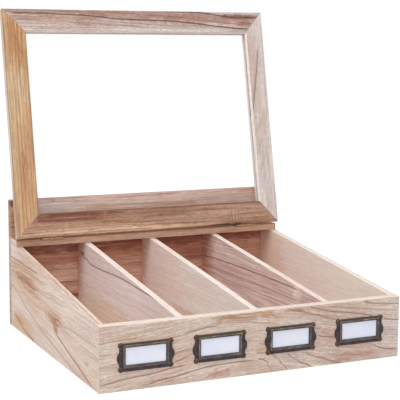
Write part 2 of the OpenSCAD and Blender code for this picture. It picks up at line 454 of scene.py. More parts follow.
@dataclass(frozen=True)
class Timber:
    """The look of one board of pale, open-pored timber with browned growth lines.

    Pale and warm are its two main shades, dark is its lines' and light its flecks'. The rings are its growth
    lines, with their gap and wander in millimetres, their depth, and their lean through the board. Lines,
    hairlines, flecks and dash say how strongly each finer mark shows. The flow bends the grain along a few
    points, less and less between the two heights of its fade. Veins and patches are drawn one by one; the
    patches are stains, and on some boards painted shade and painted shadow too. Matt is the range of the
    roughness, and relief the depth of the grain in millimetres.
    """

    name: str
    axes: Axes
    pale: Triple
    warm: Triple
    dark: Triple
    light: Triple = (246, 232, 218)
    ring_gap: float = 7.0
    ring_depth: float = 0.3
    ring_wander: float = 8.0
    lean: float = 0.5
    lines: float = 0.35
    hairlines: float = 0.2
    flecks: float = 0.3
    dash: float = 1.0
    dash_size: tuple[float, float] = (9.0, 1.3)
    seed: float = 0.0
    flow: Points = ()
    flow_fade: tuple[float, float] = (0.0, 0.0)
    veins: tuple[Vein, ...] = ()
    patches: tuple[Patch, ...] = ()
    matt: tuple[float, float] = (0.62, 0.78)
    specular: float = 0.28
    relief: float = 0.12

    def _curve(self, shader: Shader, where: Value, points: Points) -> Value:
        """A height that follows a few points.

        Args:
            shader: the material.
            where: the position along the points' first numbers.
            points: the points in order.

        Returns:
            The height at that position.
        """
        low, high = points[0][0], points[-1][0]
        floor = min(p[1] for p in points)
        rise = max(max(p[1] for p in points) - floor, FLATTEST)
        track = [((x - low) / (high - low), (y - floor) / rise) for x, y in points]
        share = where.spread(low, high, 0.0, 1.0)
        return shader.node("ShaderNodeFloatCurve", {"curve": track}, {"Value": share}) * rise + floor

    def _vein(self, shader: Shader, vein: Vein, along: Value, across: Value) -> Value:
        """How dark one vein makes a point.

        Args:
            shader: the material.
            vein: the vein.
            along: the place along the board.
            across: the place across it.

        Returns:
            The darkness from 0 to 1.
        """
        run, side = (along, across) if vein.run is Run.ALONG else (across, along)
        away = side - self._curve(shader, run, vein.points)
        mark = abs(away).ramp(vein.width * VEIN_CORE, vein.width, 1.0, 0.0)
        if vein.halo:
            outward = away * (1 / vein.halo)
            soft = outward.ramp(0.0, 1.0, vein.stain, 0.0) * outward.ramp(HALO_START, 0.0)
            mark = mark.join("MAXIMUM", soft)
        first, last = vein.points[0][0], vein.points[-1][0]
        ends = run.ramp(first, first + vein.fade) * run.ramp(last - vein.fade, last, 1.0, 0.0)
        return mark * ends * vein.depth

    def _cover(self, patch: Patch, along: Value, across: Value, edge: Value) -> Value:
        """How strongly one soft patch covers a point.

        Args:
            patch: the patch.
            along: the place along the board.
            across: the place across it.
            edge: noise about 0 that roughens the patch's edge.

        Returns:
            The cover from 0 to 1.
        """
        far = ((along - patch.along) / patch.reach) ** 2 + ((across - patch.across) / patch.spread) ** 2
        return (far + edge).ramp(0.1, 1.3, patch.depth, 0.0)

    def _level(self, shader: Shader, along: Value, across: Value) -> Value:
        """The height of a point over the bend of the grain.

        Args:
            shader: the material.
            along: the place along the board.
            across: the place across it.

        Returns:
            The height in millimetres.
        """
        if not self.flow:
            return across
        bend = self._curve(shader, along, self.flow)
        if self.flow_fade[1]:
            bend = bend * across.ramp(self.flow_fade[0], self.flow_fade[1], 1.0, 0.0)
        return across - bend

    def _growth(self, shader: Shader, grain: Value, level: Value, through: Value, waver: Value) -> Value:
        """How dark the growth lines make a point.

        Args:
            shader: the material.
            grain: the place in the bent grain.
            level: the height over the bend of the grain.
            through: the place through the board.
            waver: noise about 0 that makes lines waver.

        Returns:
            The darkness from 0 to 1.
        """
        drift = shader.noise(grain, DRIFT, self.seed) - 0.5
        rings = level + through * self.lean + drift * self.ring_wander + waver * RING_WAVER
        uneven = shader.noise(shader.triple(rings, 0.0, 0.0), RING_WIDTHS, self.seed)
        beat = (rings / self.ring_gap + uneven * RING_UNEVENNESS).join("FRACT")
        # Each ring darkens slowly, ends at once, and is lost here and there along the board.
        latewood = beat.ramp(0.3, 0.9) * beat.ramp(0.93, 1.0, 1.0, 0.0)
        return latewood * shader.noise(grain, RING_BREAKS, self.seed).ramp(0.35, 0.62) * self.ring_depth

    def make(self) -> bpy.types.Material:
        """Builds the material.

        Returns:
            The material.
        """
        shader = Shader(self.name)
        place, axes, seed = shader.place(), self.axes, self.seed
        along, across, through = (
            shader.along(place, axis, axes.origin) for axis in (axes.along, axes.across, axes.through)
        )
        level = self._level(shader, along, across)
        grain = shader.triple(along, level, through)
        waver = shader.noise(grain, WAVER, seed) - 0.5
        streak = shader.noise(grain, STREAKS, seed)
        long, thick = self.dash_size
        dashes = shader.noise(grain, Noise((long, thick, thick), 3.0, 0.6, 5.5), seed)
        pore_size = (long * PORE_SHARE[0], thick * PORE_SHARE[1], thick * PORE_SHARE[1])
        pores = shader.noise(grain, Noise(pore_size, 1.0, 0.5, 8.3), seed).ramp(0.56, 0.68)
        rough = dashes - 0.5

        # The ground: two shades in clouds, and the patches on them, which are stains and some painted shade
        # and shadow.
        cloud = shader.noise(grain, CLOUDS, seed).ramp(0.34, 0.68)
        colour = shader.blend(paint(*self.pale), paint(*self.warm), cloud)
        frayed = waver * PATCH_WAVER + rough * PATCH_ROUGHNESS
        for patch in self.patches:
            colour = shader.blend(colour, paint(*patch.shade), self._cover(patch, along, across, frayed))

        # The lines: streaks, hairlines, growth lines and veins, the darkest of them at each point.
        hair = shader.noise(grain, HAIRS, seed).ramp(0.54, 0.68, 0.0, self.hairlines)
        fine = streak.ramp(0.5, 0.66, 0.0, self.lines).join("MAXIMUM", hair)
        mark = self._growth(shader, grain, level, through, waver).join("MAXIMUM", fine)
        bent = (along + waver * VEIN_WAVER[0], across + waver * VEIN_WAVER[1])
        for vein in self.veins:
            mark = mark.join("MAXIMUM", self._vein(shader, vein, *bent))

        # Light flecks go under the lines, and the short dashes and pores tint the whole.
        colour = shader.blend(colour, paint(*self.light), streak.ramp(0.28, 0.46, self.flecks, 0.0))
        darkness = (mark + mark * rough * MARK_ROUGHNESS).join("MINIMUM", 1.0)
        colour = shader.blend(colour, paint(*self.dark), darkness)
        tone = 1.0 + rough * DASH_TONE * self.dash - pores * PORE_TONE * self.dash
        height = dashes * 0.5 - pores * 0.5 - mark * 0.25
        return shader.finish(
            {
                "Base Color": shader.blend(colour, tone, 1.0, "MULTIPLY"),
                "Roughness": streak.ramp(0.3, 0.7, *self.matt),
                "Normal": shader.bump(height, self.relief, 0.4),
                "Specular IOR Level": self.specular,
            }
        )


# ---- Metal, glass and card ----


# Where patina lies: the coarser noise's share, where it begins and ends, and how far cover shifts both.
CLOUD_SHARE = 0.7
PATINA_FROM = (0.62, 0.85)
PATINA_REACH = 0.4


@dataclass(frozen=True)
class Metal:
    """A metal with patina: its bright colour, the patina's, and how much of the metal the bright colour has.

    Smooth and rough are the roughness of the bright metal and of the patina. Upper holds two heights in
    millimetres and the shade that takes over between them.
    """

    name: str
    bright: Triple
    patina: Triple
    cover: float = 0.5
    metallic: float = 0.85
    smooth: float = 0.32
    rough: float = 0.5
    grain: float = 1.2
    seed: float = 0.0
    upper: Union[tuple[float, float, Triple], None] = None
    relief: float = 0.05

    def make(self) -> bpy.types.Material:
        """Builds the material.

        Returns:
            The material.
        """
        shader = Shader(self.name)
        place = shader.place() * (1 / MM)
        cloud = shader.noise(place, Noise((self.grain * 3,) * 3, 3.0, 0.6), self.seed)
        speck = shader.noise(place, Noise((self.grain * 0.4,) * 3, 2.0, 0.6, 2.0), self.seed)
        low, high = (start - self.cover * PATINA_REACH for start in PATINA_FROM)
        cover = (cloud * CLOUD_SHARE + speck * (1 - CLOUD_SHARE)).ramp(low, high, 1.0, 0.0)
        colour = shader.blend(paint(*self.bright), paint(*self.patina), cover)
        if self.upper:
            low, high, shade = self.upper
            rise = shader.along(shader.place(), (0.0, 0.0, 1.0), (0.0, 0.0, 0.0)) + (speck - 0.5) * 2.0
            colour = shader.blend(colour, paint(*shade), rise.ramp(low, high))
        return shader.finish(
            {
                "Base Color": colour,
                "Metallic": self.metallic,
                "Roughness": cover.spread(0.0, 1.0, self.smooth, self.rough),
                "Normal": shader.bump(speck, self.relief, 0.4),
            }
        )


@dataclass(frozen=True)
class Pane:
    """Clear window glass that shows only its sheen: how much of it straight on, and at a glance."""

    name: str = "clear_glass"
    shade: Triple = (236, 243, 240)
    haze: float = 0.03
    sheen: float = 0.22
    glance: float = 0.2
    polish: tuple[float, float] = (0.02, 0.05)

    def make(self) -> bpy.types.Material:
        """Builds the material.

        Returns:
            The material.
        """
        shader = Shader(self.name)
        glance = shader.node("ShaderNodeLayerWeight", {}, {"Blend": self.glance}, "Facing")
        waves = shader.noise(shader.place() * (1 / MM), Noise((60, 60, 60), 1.0, 0.4))
        return shader.finish(
            {
                "Base Color": paint(*self.shade),
                "Roughness": waves.spread(0.3, 0.7, *self.polish),
                "Alpha": glance.ramp(0.1, 1.0, self.haze, self.sheen),
            }
        )


@dataclass(frozen=True)
class Paper:
    """Plain card stock, white with a cool cast."""

    name: str = "label_card"
    shade: Triple = (226, 230, 245)
    warm: Triple = (232, 233, 244)
    matt: tuple[float, float] = (0.75, 0.9)
    relief: float = 0.03

    def make(self) -> bpy.types.Material:
        """Builds the material.

        Returns:
            The material.
        """
        shader = Shader(self.name)
        place = shader.place() * (1 / MM)
        cloud = shader.noise(place, Noise((14, 14, 14), 1.0, 0.5))
        fibre = shader.noise(place, Noise((0.8, 0.8, 0.8), 2.0, 0.6))
        return shader.finish(
            {
                "Base Color": shader.blend(paint(*self.shade), paint(*self.warm), cloud.ramp(0.35, 0.7)),
                "Roughness": fibre.spread(0.3, 0.7, *self.matt),
                "Normal": shader.bump(fibre, self.relief, 0.3),
            }
        )


# ---- Making pieces ----


class Bench:
    """Turns a bmesh into a finished piece of the object."""

    def __init__(self, name: str, body: Body, slot: str) -> None:
        """Starts an empty piece.

        Args:
            name: the piece's name.
            body: the body that it rides on.
            slot: a material slot's name, which is kept but not used.
        """
        self.name = name
        self.body = body
        self.slot = slot
        self.work = bmesh.new()

    def finish(self, materials: list[bpy.types.Material], stands_for: tuple[str, ...]) -> bpy.types.Object:
        """Makes the object, puts it on its body and lets it stand for its CAD nodes.

        Args:
            materials: the material slots in order.
            stands_for: the CAD nodes that it replaces.

        Returns:
            The finished piece.
        """
        mesh = bpy.data.meshes.new(self.name)
        self.work.to_mesh(mesh)
        self.work.free()
        for material in materials:
            mesh.materials.append(material)
        piece = bpy.data.objects.new(self.name, mesh)
        bpy.context.scene.collection.objects.link(piece)
        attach(piece, self.body.value)
        if stands_for:
            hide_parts(*stands_for)
        LOG.info("%s: %d faces on %s", self.name, len(mesh.polygons), self.body.value)
        return piece


def round_edges(
    work: bmesh.types.BMesh, edges: list[bmesh.types.BMEdge], size: float, segments: int
) -> list[bmesh.types.BMFace]:
    """Rounds edges of a form.

    Args:
        work: the form.
        edges: the edges to round.
        size: how far the rounding reaches from the edge, in millimetres.
        segments: how many flats make the rounding.

    Returns:
        The new faces.
    """
    made = bmesh.ops.bevel(
        work,
        geom=edges,
        offset=size * MM,
        offset_type="OFFSET",
        segments=segments,
        profile=0.5,
        affect="EDGES",
        clamp_overlap=True,
        material=-1,
    )
    return made["faces"]


def dress(node: str, material: bpy.types.Material) -> None:
    """Gives a CAD node its finish.

    Args:
        node: the node's name.
        material: the finish.
    """
    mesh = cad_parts[node].data
    mesh.materials.clear()
    mesh.materials.append(material)
    LOG.info("%s: dressed in %s", node, material.name)


class Side(IntEnum):
    """Which finish of a board a face takes."""

    BROAD = 0
    EDGE = 1
    END = 2
    REAR = 3


@dataclass(frozen=True)
class Board:
    """One timber board: a CAD solid with its outer edges eased by sandpaper.

    A face counts as broad or as an end where its normal's share in that direction is past the squareness.
    Rear is the timber of the broad face that looks along the board's third direction, where it differs.
    Edges shorter than the longest left stay as they are. Sharp is the least angle of an edge that is eased,
    and flat the largest one between faces that are joined into one.
    """

    node: str
    body: Body
    slot: str
    face: Timber
    edge: Timber
    end: Timber
    ease: float = 0.4
    squareness: float = 0.6
    rear: Union[Timber, None] = None
    longest_left: float = 8.0
    sharp: float = math.radians(30)
    flat: float = 0.01

    def build(self) -> bpy.types.Object:
        """Builds the board and dresses it.

        Returns:
            The finished piece.
        """
        bench = Bench(self.node + "_board", self.body, self.slot)
        work = bench.work
        work.from_mesh(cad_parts[self.node].data)
        bmesh.ops.remove_doubles(work, verts=work.verts, dist=WELD * MM)
        bmesh.ops.dissolve_limit(work, angle_limit=self.flat, verts=work.verts, edges=work.edges)
        round_edges(work, [e for e in work.edges if self._outer(e)], self.ease, 2)
        through = Vector(self.face.axes.through)
        along = Vector(self.face.axes.along)
        for face in work.faces:
            broad = abs(face.normal.dot(through)) > self.squareness
            end = abs(face.normal.dot(along)) > self.squareness
            face.material_index = Side.BROAD if broad else Side.END if end else Side.EDGE
            if self.rear and face.normal.dot(through) > self.squareness:
                face.material_index = Side.REAR
        timbers = [self.face, self.edge, self.end] + ([self.rear] if self.rear else [])
        return bench.finish([timber.make() for timber in timbers], (self.node,))

    def _outer(self, edge: bmesh.types.BMEdge) -> bool:
        """Tells the long edges that stand out from the rest.

        Args:
            edge: an edge of the board.

        Returns:
            True where it stands out and is longer than what is left sharp.
        """
        if len(edge.link_faces) != 2 or edge.calc_length() < self.longest_left * MM:
            return False
        return edge.calc_face_angle_signed() > self.sharp


# ---- Sub-assemblies ----


@dataclass
class Carcass:
    """The box itself: bottom, front, two sides, backboard and the rail that carries the lid."""

    ease: float = 0.35
    front_edge: Timber = Timber(
        "front_edge_timber",
        FLAT,
        (234, 219, 208),
        (232, 213, 201),
        (198, 162, 138),
        ring_depth=0.1,
        lines=0.3,
        dash=0.5,
        patches=(Patch(290, 3.5, 80, 12, 0.6, (238, 226, 217)),),
    )
    left_edge: Timber = Timber(
        "left_edge_timber",
        FLAT_LENGTHWAYS,
        (228, 211, 199),
        (218, 195, 181),
        (172, 131, 110),
        ring_depth=0.1,
        lines=0.3,
        dash=0.6,
        veins=(Vein(((-20, 2.9), (60, 3.0), (170, 3.2)), 0.85, 1.1, 40.0),),
        patches=(
            Patch(60, 0.6, 90, 2.4, 0.8, (212, 190, 174)),
            Patch(190, 1.5, 90, 4.2, 1.0, (204, 178, 158)),
            Patch(150, 3.6, 60, 1.6, 0.5, (212, 188, 172)),
            Patch(282, 3.5, 44, 9.0, 1.0, (206, 192, 184)),
        ),
    )
    right_edge: Timber = Timber(
        "right_edge_timber",
        FLAT_LENGTHWAYS,
        (238, 231, 225),
        (234, 222, 212),
        (196, 176, 164),
        ring_depth=0.1,
        lines=0.3,
        dash=0.5,
        veins=(Vein(((-20, 327.4), (60, 327.5), (150, 327.3), (300, 327.5)), 0.5, 1.0, 10.0),),
        patches=(Patch(140, 330, 400, 1.6, 0.7, (252, 249, 246)),),
    )
    back_top: Timber = Timber(
        "backboard_top_timber",
        FLAT,
        (182, 158, 144),
        (166, 140, 124),
        (112, 84, 66),
        ring_depth=0.1,
        lines=0.4,
        dash=0.7,
        seed=15.0,
    )
    back_edge: Timber = Timber(
        "backboard_end_timber",
        LENGTHWAYS,
        (186, 172, 160),
        (176, 156, 140),
        (122, 92, 74),
        ring_depth=0.3,
        lines=0.5,
        dash_size=(3.0, 1.2),
        seed=60.0,
        patches=(
            Patch(286, 124, 12, 22, 0.9, (178, 136, 108)),
            Patch(286, 141, 12, 7, 0.9, (126, 82, 54)),
            Patch(282, 60, 1.2, 90, 0.6, (130, 104, 86)),
        ),
    )
    front: Timber = Timber(
        "front_timber",
        SIDEWAYS,
        (218, 200, 188),
        (206, 182, 167),
        (136, 94, 75),
        ring_depth=0.14,
        ring_gap=7.0,
        lines=0.25,
        hairlines=0.4,
        dash=1.45,
        dash_size=(5.5, 1.2),
        flow=((0, -8), (50, -3), (100, 3), (150, 8), (200, 3), (250, -6), (330, -16)),
        veins=(
            Vein(
                (
                    (-6, 5.6), (6, 8.2), (21, 10.9), (40, 12.5),
                    (53, 13.5), (68, 15.7), (81, 17.3), (94, 18.6),
                ),
                0.75,
                1.3,
            ),
            Vein(
                (
                    (42, 1.6), (50, 4), (60, 6.1), (75, 7.7), (85, 9.3),
                    (96, 11.4), (117, 13.9), (141, 14.6), (168, 13.5),
                ),
                0.75,
                1.3,
            ),
            Vein(((165, 15.1), (171.4, 13.5), (175.6, 10.9), (178.8, 5.5), (182, 0)), 0.75, 1.3, 2.0),
            Vein(((181, 18.3), (186.3, 15.1), (189.5, 10.9), (193.7, 6.6), (200, 0.2)), 0.7, 1.3, 2.0),
            Vein(((197, 18.3), (205.4, 11.9), (210.7, 7.7), (220.3, 3.4), (227, 0)), 0.7, 1.3, 3.0),
            Vein(((218, 16.2), (228.8, 11.4), (239.5, 7.7), (250, 3.9), (262, 0)), 0.7, 1.3, 3.0),
            Vein(((291, 17.2), (301, 14), (308.6, 11.4), (319, 9.2), (334, 8)), 0.75, 1.3),
            Vein(((74, 30), (84, 32), (94, 34)), 0.6, 1.2, 5.0),
            Vein(((74, 21.8), (84, 24), (94, 27.4)), 0.7, 1.2, 5.0),
            Vein(((80, 46.8), (90, 49.2), (101, 50.8), (111.7, 52.4), (122, 52.9), (127, 55)), 0.7, 1.3),
            Vein(((122, 54), (150, 53.5), (165, 51), (192, 49)), 0.5, 1.2),
            Vein(
                ((197, 62.5), (203, 60.3), (213, 58.2), (224.6, 54.5), (232, 52.6)),
                0.65,
                1.5,
                4.0,
                halo=3.0,
                stain=0.35,
            ),
            Vein(((222, 55.4), (231, 52.9), (239.5, 50.2), (248, 47.6), (258, 45.6)), 0.65, 1.3, 4.0),
            Vein(
                (
                    (222.4, 62), (233, 58.7), (241.6, 56.6), (250, 54.5),
                    (260.7, 53.4), (271, 51.3), (300, 46),
                ),
                0.7,
                1.3,
                4.0,
            ),
            Vein(((240, 61), (262, 58), (284, 55), (300, 52.5), (334, 48)), 0.4, 1.2),
            Vein(((285, 62.5), (298, 58.7), (314, 57), (334, 55.2)), 0.7, 1.2, 4.0),
            Vein(((231, 33), (239.5, 30.5), (254, 28.2)), 0.75, 1.3, 4.0),
            Vein(((165, 31), (177, 28.6)), 0.6, 1.2, 4.0),
            Vein(((162, 21.3), (176, 20.6)), 0.6, 1.2, 4.0),
            Vein(((309, 41.9), (320, 40), (334, 38)), 0.75, 1.2, 4.0),
            Vein(((298, 31.4), (318, 29.5), (334, 28)), 0.6, 1.1),
            Vein(((-6, 36.2), (15, 36)), 0.5, 1.1, 4.0),
            Vein(((-6, 46.5), (16, 48.2), (40, 49)), 0.5, 1.1, 4.0),
            Vein(((-6, 25), (18, 25.6)), 0.4, 1.1, 4.0),
            Vein(((0, 53), (30, 54), (60, 56), (90, 59)), 0.35),
            Vein(((128, 61.6), (146, 61), (170, 62)), 0.6, 1.1, 6.0),
            Vein(((120, 57), (134, 59.5), (150, 57.4), (168, 58.6)), 0.45, 1.1, 6.0),
            Vein(((150, 33.4), (162, 35.8)), 0.4, 1.1, 4.0),
            Vein(((112, 58.4), (124, 60.4), (136, 58.4), (164, 57)), 0.55, 1.0, 5.0),
            Vein(((126, 56), (142, 55.6), (166, 55.2)), 0.5, 1.0, 5.0),
            Vein(((176, 57.4), (184, 55.2), (190, 51.4)), 0.4, 1.0, 4.0),
            Vein(((182, 59.6), (190, 57), (196, 52)), 0.4, 1.0, 4.0),
        ),
        patches=(
            Patch(28, 50.5, 20, 3.6, 0.45, (208, 172, 134)),
            Patch(68, 60, 12, 1.8, 0.5, (198, 160, 118)),
            Patch(60, 47, 34, 2.4, 0.4, (196, 152, 130)),
            Patch(134, 59.6, 10, 2.8, 0.6, (190, 138, 104)),
            Patch(123, 56.4, 5, 4.0, 0.5, (200, 150, 110)),
            Patch(154, 58.6, 16, 2.6, 0.5, (198, 150, 110)),
            Patch(175, 59.6, 9, 3.6, 0.75, (192, 140, 96)),
            Patch(190, 56, 8, 6, 0.4, (208, 172, 158)),
            Patch(252, 16, 24, 7, 0.5, (202, 188, 184)),
            Patch(318, 30, 14, 10, 0.5, (208, 190, 188)),
            Patch(182, 52.5, 12, 6, 0.35, (202, 160, 138)),
            Patch(206, 60, 14, 1.6, 0.6, (186, 140, 92)),
            Patch(230, 57.5, 30, 4, 0.3, (200, 164, 134)),
            Patch(300, 57, 34, 5, 0.3, (196, 160, 130)),
            Patch(316, 45, 8, 3.6, 0.6, (212, 164, 136)),
            Patch(243.5, 35.4, 6, 5.5, 0.65, (196, 156, 110)),
            Patch(168, 24, 6, 2.6, 0.6, (202, 160, 110)),
            Patch(124, 5, 16, 5.5, 0.6, (190, 142, 126)),
            Patch(266, 7, 15, 5, 0.75, (172, 124, 112)),
            Patch(292, 7.5, 16, 3.6, 0.55, (184, 136, 122)),
            Patch(84, 23, 12, 9, 0.35, (204, 162, 140)),
            Patch(76, 56, 34, 7, 0.4, (194, 168, 152)),
            Patch(76, 6, 34, 7, 0.35, (190, 162, 148)),
            Patch(262, 6, 30, 8, 0.3, (180, 150, 138)),
            Patch(6, 32, 10, 24, 0.5, (222, 208, 200)),
            Patch(320, 36, 28, 44, 0.55, (224, 212, 206)),
            Patch(8, 59, 14, 5, 0.35, (200, 166, 154)),
            Patch(206, 14, 12, 5, 0.35, (206, 192, 192)),
            Patch(316, 25, 14, 7, 0.3, (208, 192, 188)),
            Patch(320, 4, 20, 4, 0.4, (212, 192, 184)),
            # Painted shade: the front darkened towards its right end, where the light falls off.
            Patch(258, 36, 40, 40, 0.5, (194, 168, 154)),
        ),
    )
    left: Timber = Timber(
        "left_side_timber",
        LENGTHWAYS,
        (222, 205, 194),
        (214, 191, 177),
        (146, 102, 80),
        ring_depth=0.16,
        ring_gap=8.0,
        lines=0.3,
        hairlines=0.25,
        dash=1.1,
        dash_size=(7.0, 1.2),
        flow=((0, 0), (60, 6), (125, 26), (200, 40), (290, 62)),
        flow_fade=(0.0, 62.0),
        veins=(
            Vein(
                ((12, 1), (45, 8), (60, 12.5), (80, 16.5), (100, 21.5), (120, 27), (130, 31.5)),
                0.95,
                1.6,
                16.0,
                halo=5.0,
                stain=0.3,
            ),
            Vein(((0, 42), (60, 42.5), (98, 40.5), (126, 35)), 0.4, 1.8, halo=7.0, stain=0.5),
            Vein(((30, -2), (100, 8), (150, 17), (203, 28), (235, 36), (250, 42), (288, 51)), 0.4, 2.6),
            Vein(((190, 1), (235, 6), (252, 11), (276, 20.5)), 0.9, 1.4, halo=5.0, stain=0.5),
            Vein(((186, 58.5), (200, 60), (230, 63), (264, 61.5)), 0.75, 1.8, halo=-4.0, stain=0.5),
            Vein(((192, 55.4), (222, 54.5)), 0.6, 1.2),
            Vein(((178, 78), (235, 79.5), (292, 80.5)), 0.8, 1.3, halo=-5.0, stain=0.3),
            Vein(((190, 74.5), (240, 75.5), (292, 75)), 0.5, 1.2),
            Vein(((200, 66), (230, 67.5), (262, 66)), 0.6, 1.3),
            Vein(((110, 44), (126, 43.2), (150, 46)), 0.5, 1.4, 6.0),
            Vein(((92, 57), (135, 61), (150, 59.5), (196, 62)), 0.45, 1.2),
            Vein(((150, 70), (200, 72), (284, 70)), 0.5, 1.2),
            Vein(((120, 72), (180, 84), (240, 88)), 0.25, 1.0),
        ),
        patches=(
            Patch(236, 64, 74, 22, 0.8, (206, 175, 150)),
            Patch(190, 46, 50, 10, 0.7, (206, 176, 150)),
            Patch(246, 73, 66, 5, 0.5, (212, 180, 148)),
            Patch(128, 46.5, 30, 4.5, 0.7, (200, 166, 136)),
            Patch(132, 41, 26, 6.5, 0.9, (188, 146, 116)),
            Patch(122, 42.5, 16, 2.6, 0.7, (176, 128, 98)),
            Patch(126, 36, 10, 7, 0.85, (176, 130, 100)),
            Patch(123, 31, 6, 5, 0.6, (172, 128, 102)),
            Patch(244, 10, 50, 12, 0.65, (208, 170, 130)),
            Patch(252, 13, 20, 4.5, 0.6, (186, 138, 96)),
            Patch(228, 63.5, 46, 6.5, 0.85, (186, 142, 112)),
            Patch(216, 66, 26, 2.2, 0.6, (168, 120, 92)),
            Patch(206, 60, 24, 1.8, 0.6, (170, 122, 94)),
            Patch(205, 55, 40, 3.5, 0.45, (194, 154, 124)),
            Patch(192, 70, 12, 14, 0.3, (212, 188, 156)),
            Patch(284, 94, 30, 9, 0.9, (222, 208, 200)),
            Patch(266, 38, 20, 20, 0.35, (226, 210, 200)),
            Patch(276, 86, 26, 5, 0.6, (222, 198, 178)),
            Patch(32, 20, 6, 2.5, 0.5, (178, 146, 124)),
            Patch(12, 10, 16, 8, 0.3, (206, 180, 146)),
            Patch(150, 10, 40, 8, 0.3, (214, 200, 200)),
            Patch(40, 30, 40, 7, 0.3, (222, 210, 206)),
            Patch(30, 54, 34, 6, 0.4, (206, 192, 190)),
        ),
    )
    right: Timber = Timber(
        "right_side_timber",
        LENGTHWAYS,
        (242, 233, 225),
        (238, 225, 215),
        (196, 160, 144),
        ring_depth=0.1,
        lines=0.1,
        dash=0.3,
        patches=(
            Patch(60, 55, 70, 40, 0.6, (240, 233, 219)),
            Patch(190, 60, 60, 60, 0.5, (240, 219, 211)),
            # Painted shade: a warm darker tint towards the back, where the backboard shades this face and
            # throws its red-brown light on it.
            Patch(262, 60, 44, 60, 0.6, (232, 192, 166)),
        ),
    )
    # The backboard's inner face. Its red-brown ground, darker than the wood, is painted shade and warm
    # bounced light inside the compartments; the pale patches above the hinge rail give the wood where it
    # stands clear of it.
    back: Timber = Timber(
        "backboard_timber",
        SIDEWAYS,
        (212, 163, 142),
        (198, 142, 118),
        (122, 68, 48),
        light=(230, 192, 172),
        ring_depth=0.2,
        ring_gap=5.0,
        lines=0.4,
        hairlines=0.3,
        dash=1.1,
        dash_size=(12.0, 1.2),
        seed=4.0,
        patches=(
            Patch(165, 128, 260, 22, 1.0, (236, 204, 188)),
            Patch(165, 116, 260, 9, 0.8, (230, 198, 182)),
            Patch(165, 105, 260, 9, 0.85, (224, 194, 178)),
            Patch(52, 136, 34, 9, 0.8, (234, 216, 208)),
            Patch(106, 129, 26, 5, 0.8, (220, 176, 142)),
            Patch(200, 130, 42, 4.5, 0.7, (208, 164, 134)),
            Patch(270, 134, 50, 8, 0.4, (204, 170, 158)),
            # Painted shadow under the hinge rail: a dark band just below it, and darker patches beneath that.
            Patch(165, 86, 260, 9, 0.75, (128, 62, 38)),
            Patch(222, 74, 36, 14, 0.5, (170, 112, 92)),
            Patch(118, 76, 48, 13, 0.4, (158, 98, 72)),
            Patch(270, 66, 34, 8, 0.35, (176, 124, 104)),
            Patch(3, 121, 13, 22, 1.0, (200, 160, 122)),
            Patch(3, 140.5, 13, 5.5, 1.0, (122, 80, 50)),
            Patch(60, 52, 34, 16, 0.6, (240, 204, 188)),
            Patch(58, 48.6, 26, 1.8, 0.7, (242, 208, 196)),
            Patch(68, 44.6, 13, 1.2, 0.8, (150, 98, 82)),
            Patch(64, 41.4, 12, 1.0, 0.6, (170, 116, 98)),
            Patch(72, 36, 14, 2.4, 0.6, (234, 190, 170)),
            Patch(74, 29, 12, 2.5, 0.7, (136, 84, 66)),
            Patch(142, 50, 30, 10, 0.45, (232, 194, 178)),
            Patch(120, 66, 60, 3, 0.4, (226, 178, 156)),
            Patch(230, 62, 60, 3, 0.5, (150, 90, 70)),
        ),
        veins=(
            Vein(((-8, 113), (16, 113.4)), 0.7, 1.0, 3.0),
            Vein(((-8, 119), (16, 118.8)), 0.6, 0.9, 3.0),
            Vein(((-8, 126), (16, 126.4)), 0.6, 0.9, 3.0),
            Vein(((-8, 131), (16, 131.2)), 0.5, 0.8, 3.0),
        ),
    )
    back_outside: Timber = Timber(
        "backboard_outside_timber",
        SIDEWAYS,
        (214, 188, 168),
        (202, 168, 144),
        (134, 90, 66),
        ring_depth=0.3,
        ring_gap=9.0,
        lines=0.4,
        hairlines=0.3,
        dash=1.2,
        dash_size=(8.0, 1.3),
        seed=33.0,
        flow=((0, 0), (80, 5), (170, -4), (250, 3), (330, 9)),
        veins=(
            Vein(((-6, 112), (70, 106), (150, 109), (240, 101), (336, 104)), 0.6, 1.6, halo=-5.0, stain=0.3),
            Vein(((-6, 60), (90, 66), (180, 60), (260, 66), (336, 62)), 0.5, 1.4),
            Vein(((40, 24), (120, 30), (210, 25), (300, 31)), 0.5, 1.4, 30.0),
        ),
        patches=(
            Patch(327, 121, 13, 22, 1.0, (200, 160, 122)),
            Patch(60, 84, 44, 7, 0.4, (196, 154, 122)),
            Patch(236, 42, 60, 9, 0.4, (194, 150, 118)),
        ),
    )
    right_outside: Timber = Timber(
        "right_side_outside_timber",
        LENGTHWAYS,
        (224, 207, 194),
        (214, 190, 172),
        (146, 102, 80),
        ring_depth=0.25,
        ring_gap=9.0,
        lines=0.35,
        hairlines=0.25,
        dash=1.1,
        dash_size=(7.0, 1.2),
        seed=36.0,
        flow=((0, 0), (80, 4), (170, 12), (230, 20), (290, 24)),
        veins=(
            Vein(((-6, 22), (70, 27), (150, 38), (220, 50), (296, 55)), 0.6, 1.5, halo=4.0, stain=0.3),
            Vein(((60, 4), (140, 12), (210, 24), (296, 30)), 0.55, 1.4, 24.0),
        ),
        patches=(
            Patch(90, 44, 60, 7, 0.45, (204, 170, 140)),
            Patch(228, 70, 50, 10, 0.5, (202, 164, 132)),
            Patch(250, 12, 34, 7, 0.4, (202, 164, 132)),
        ),
    )
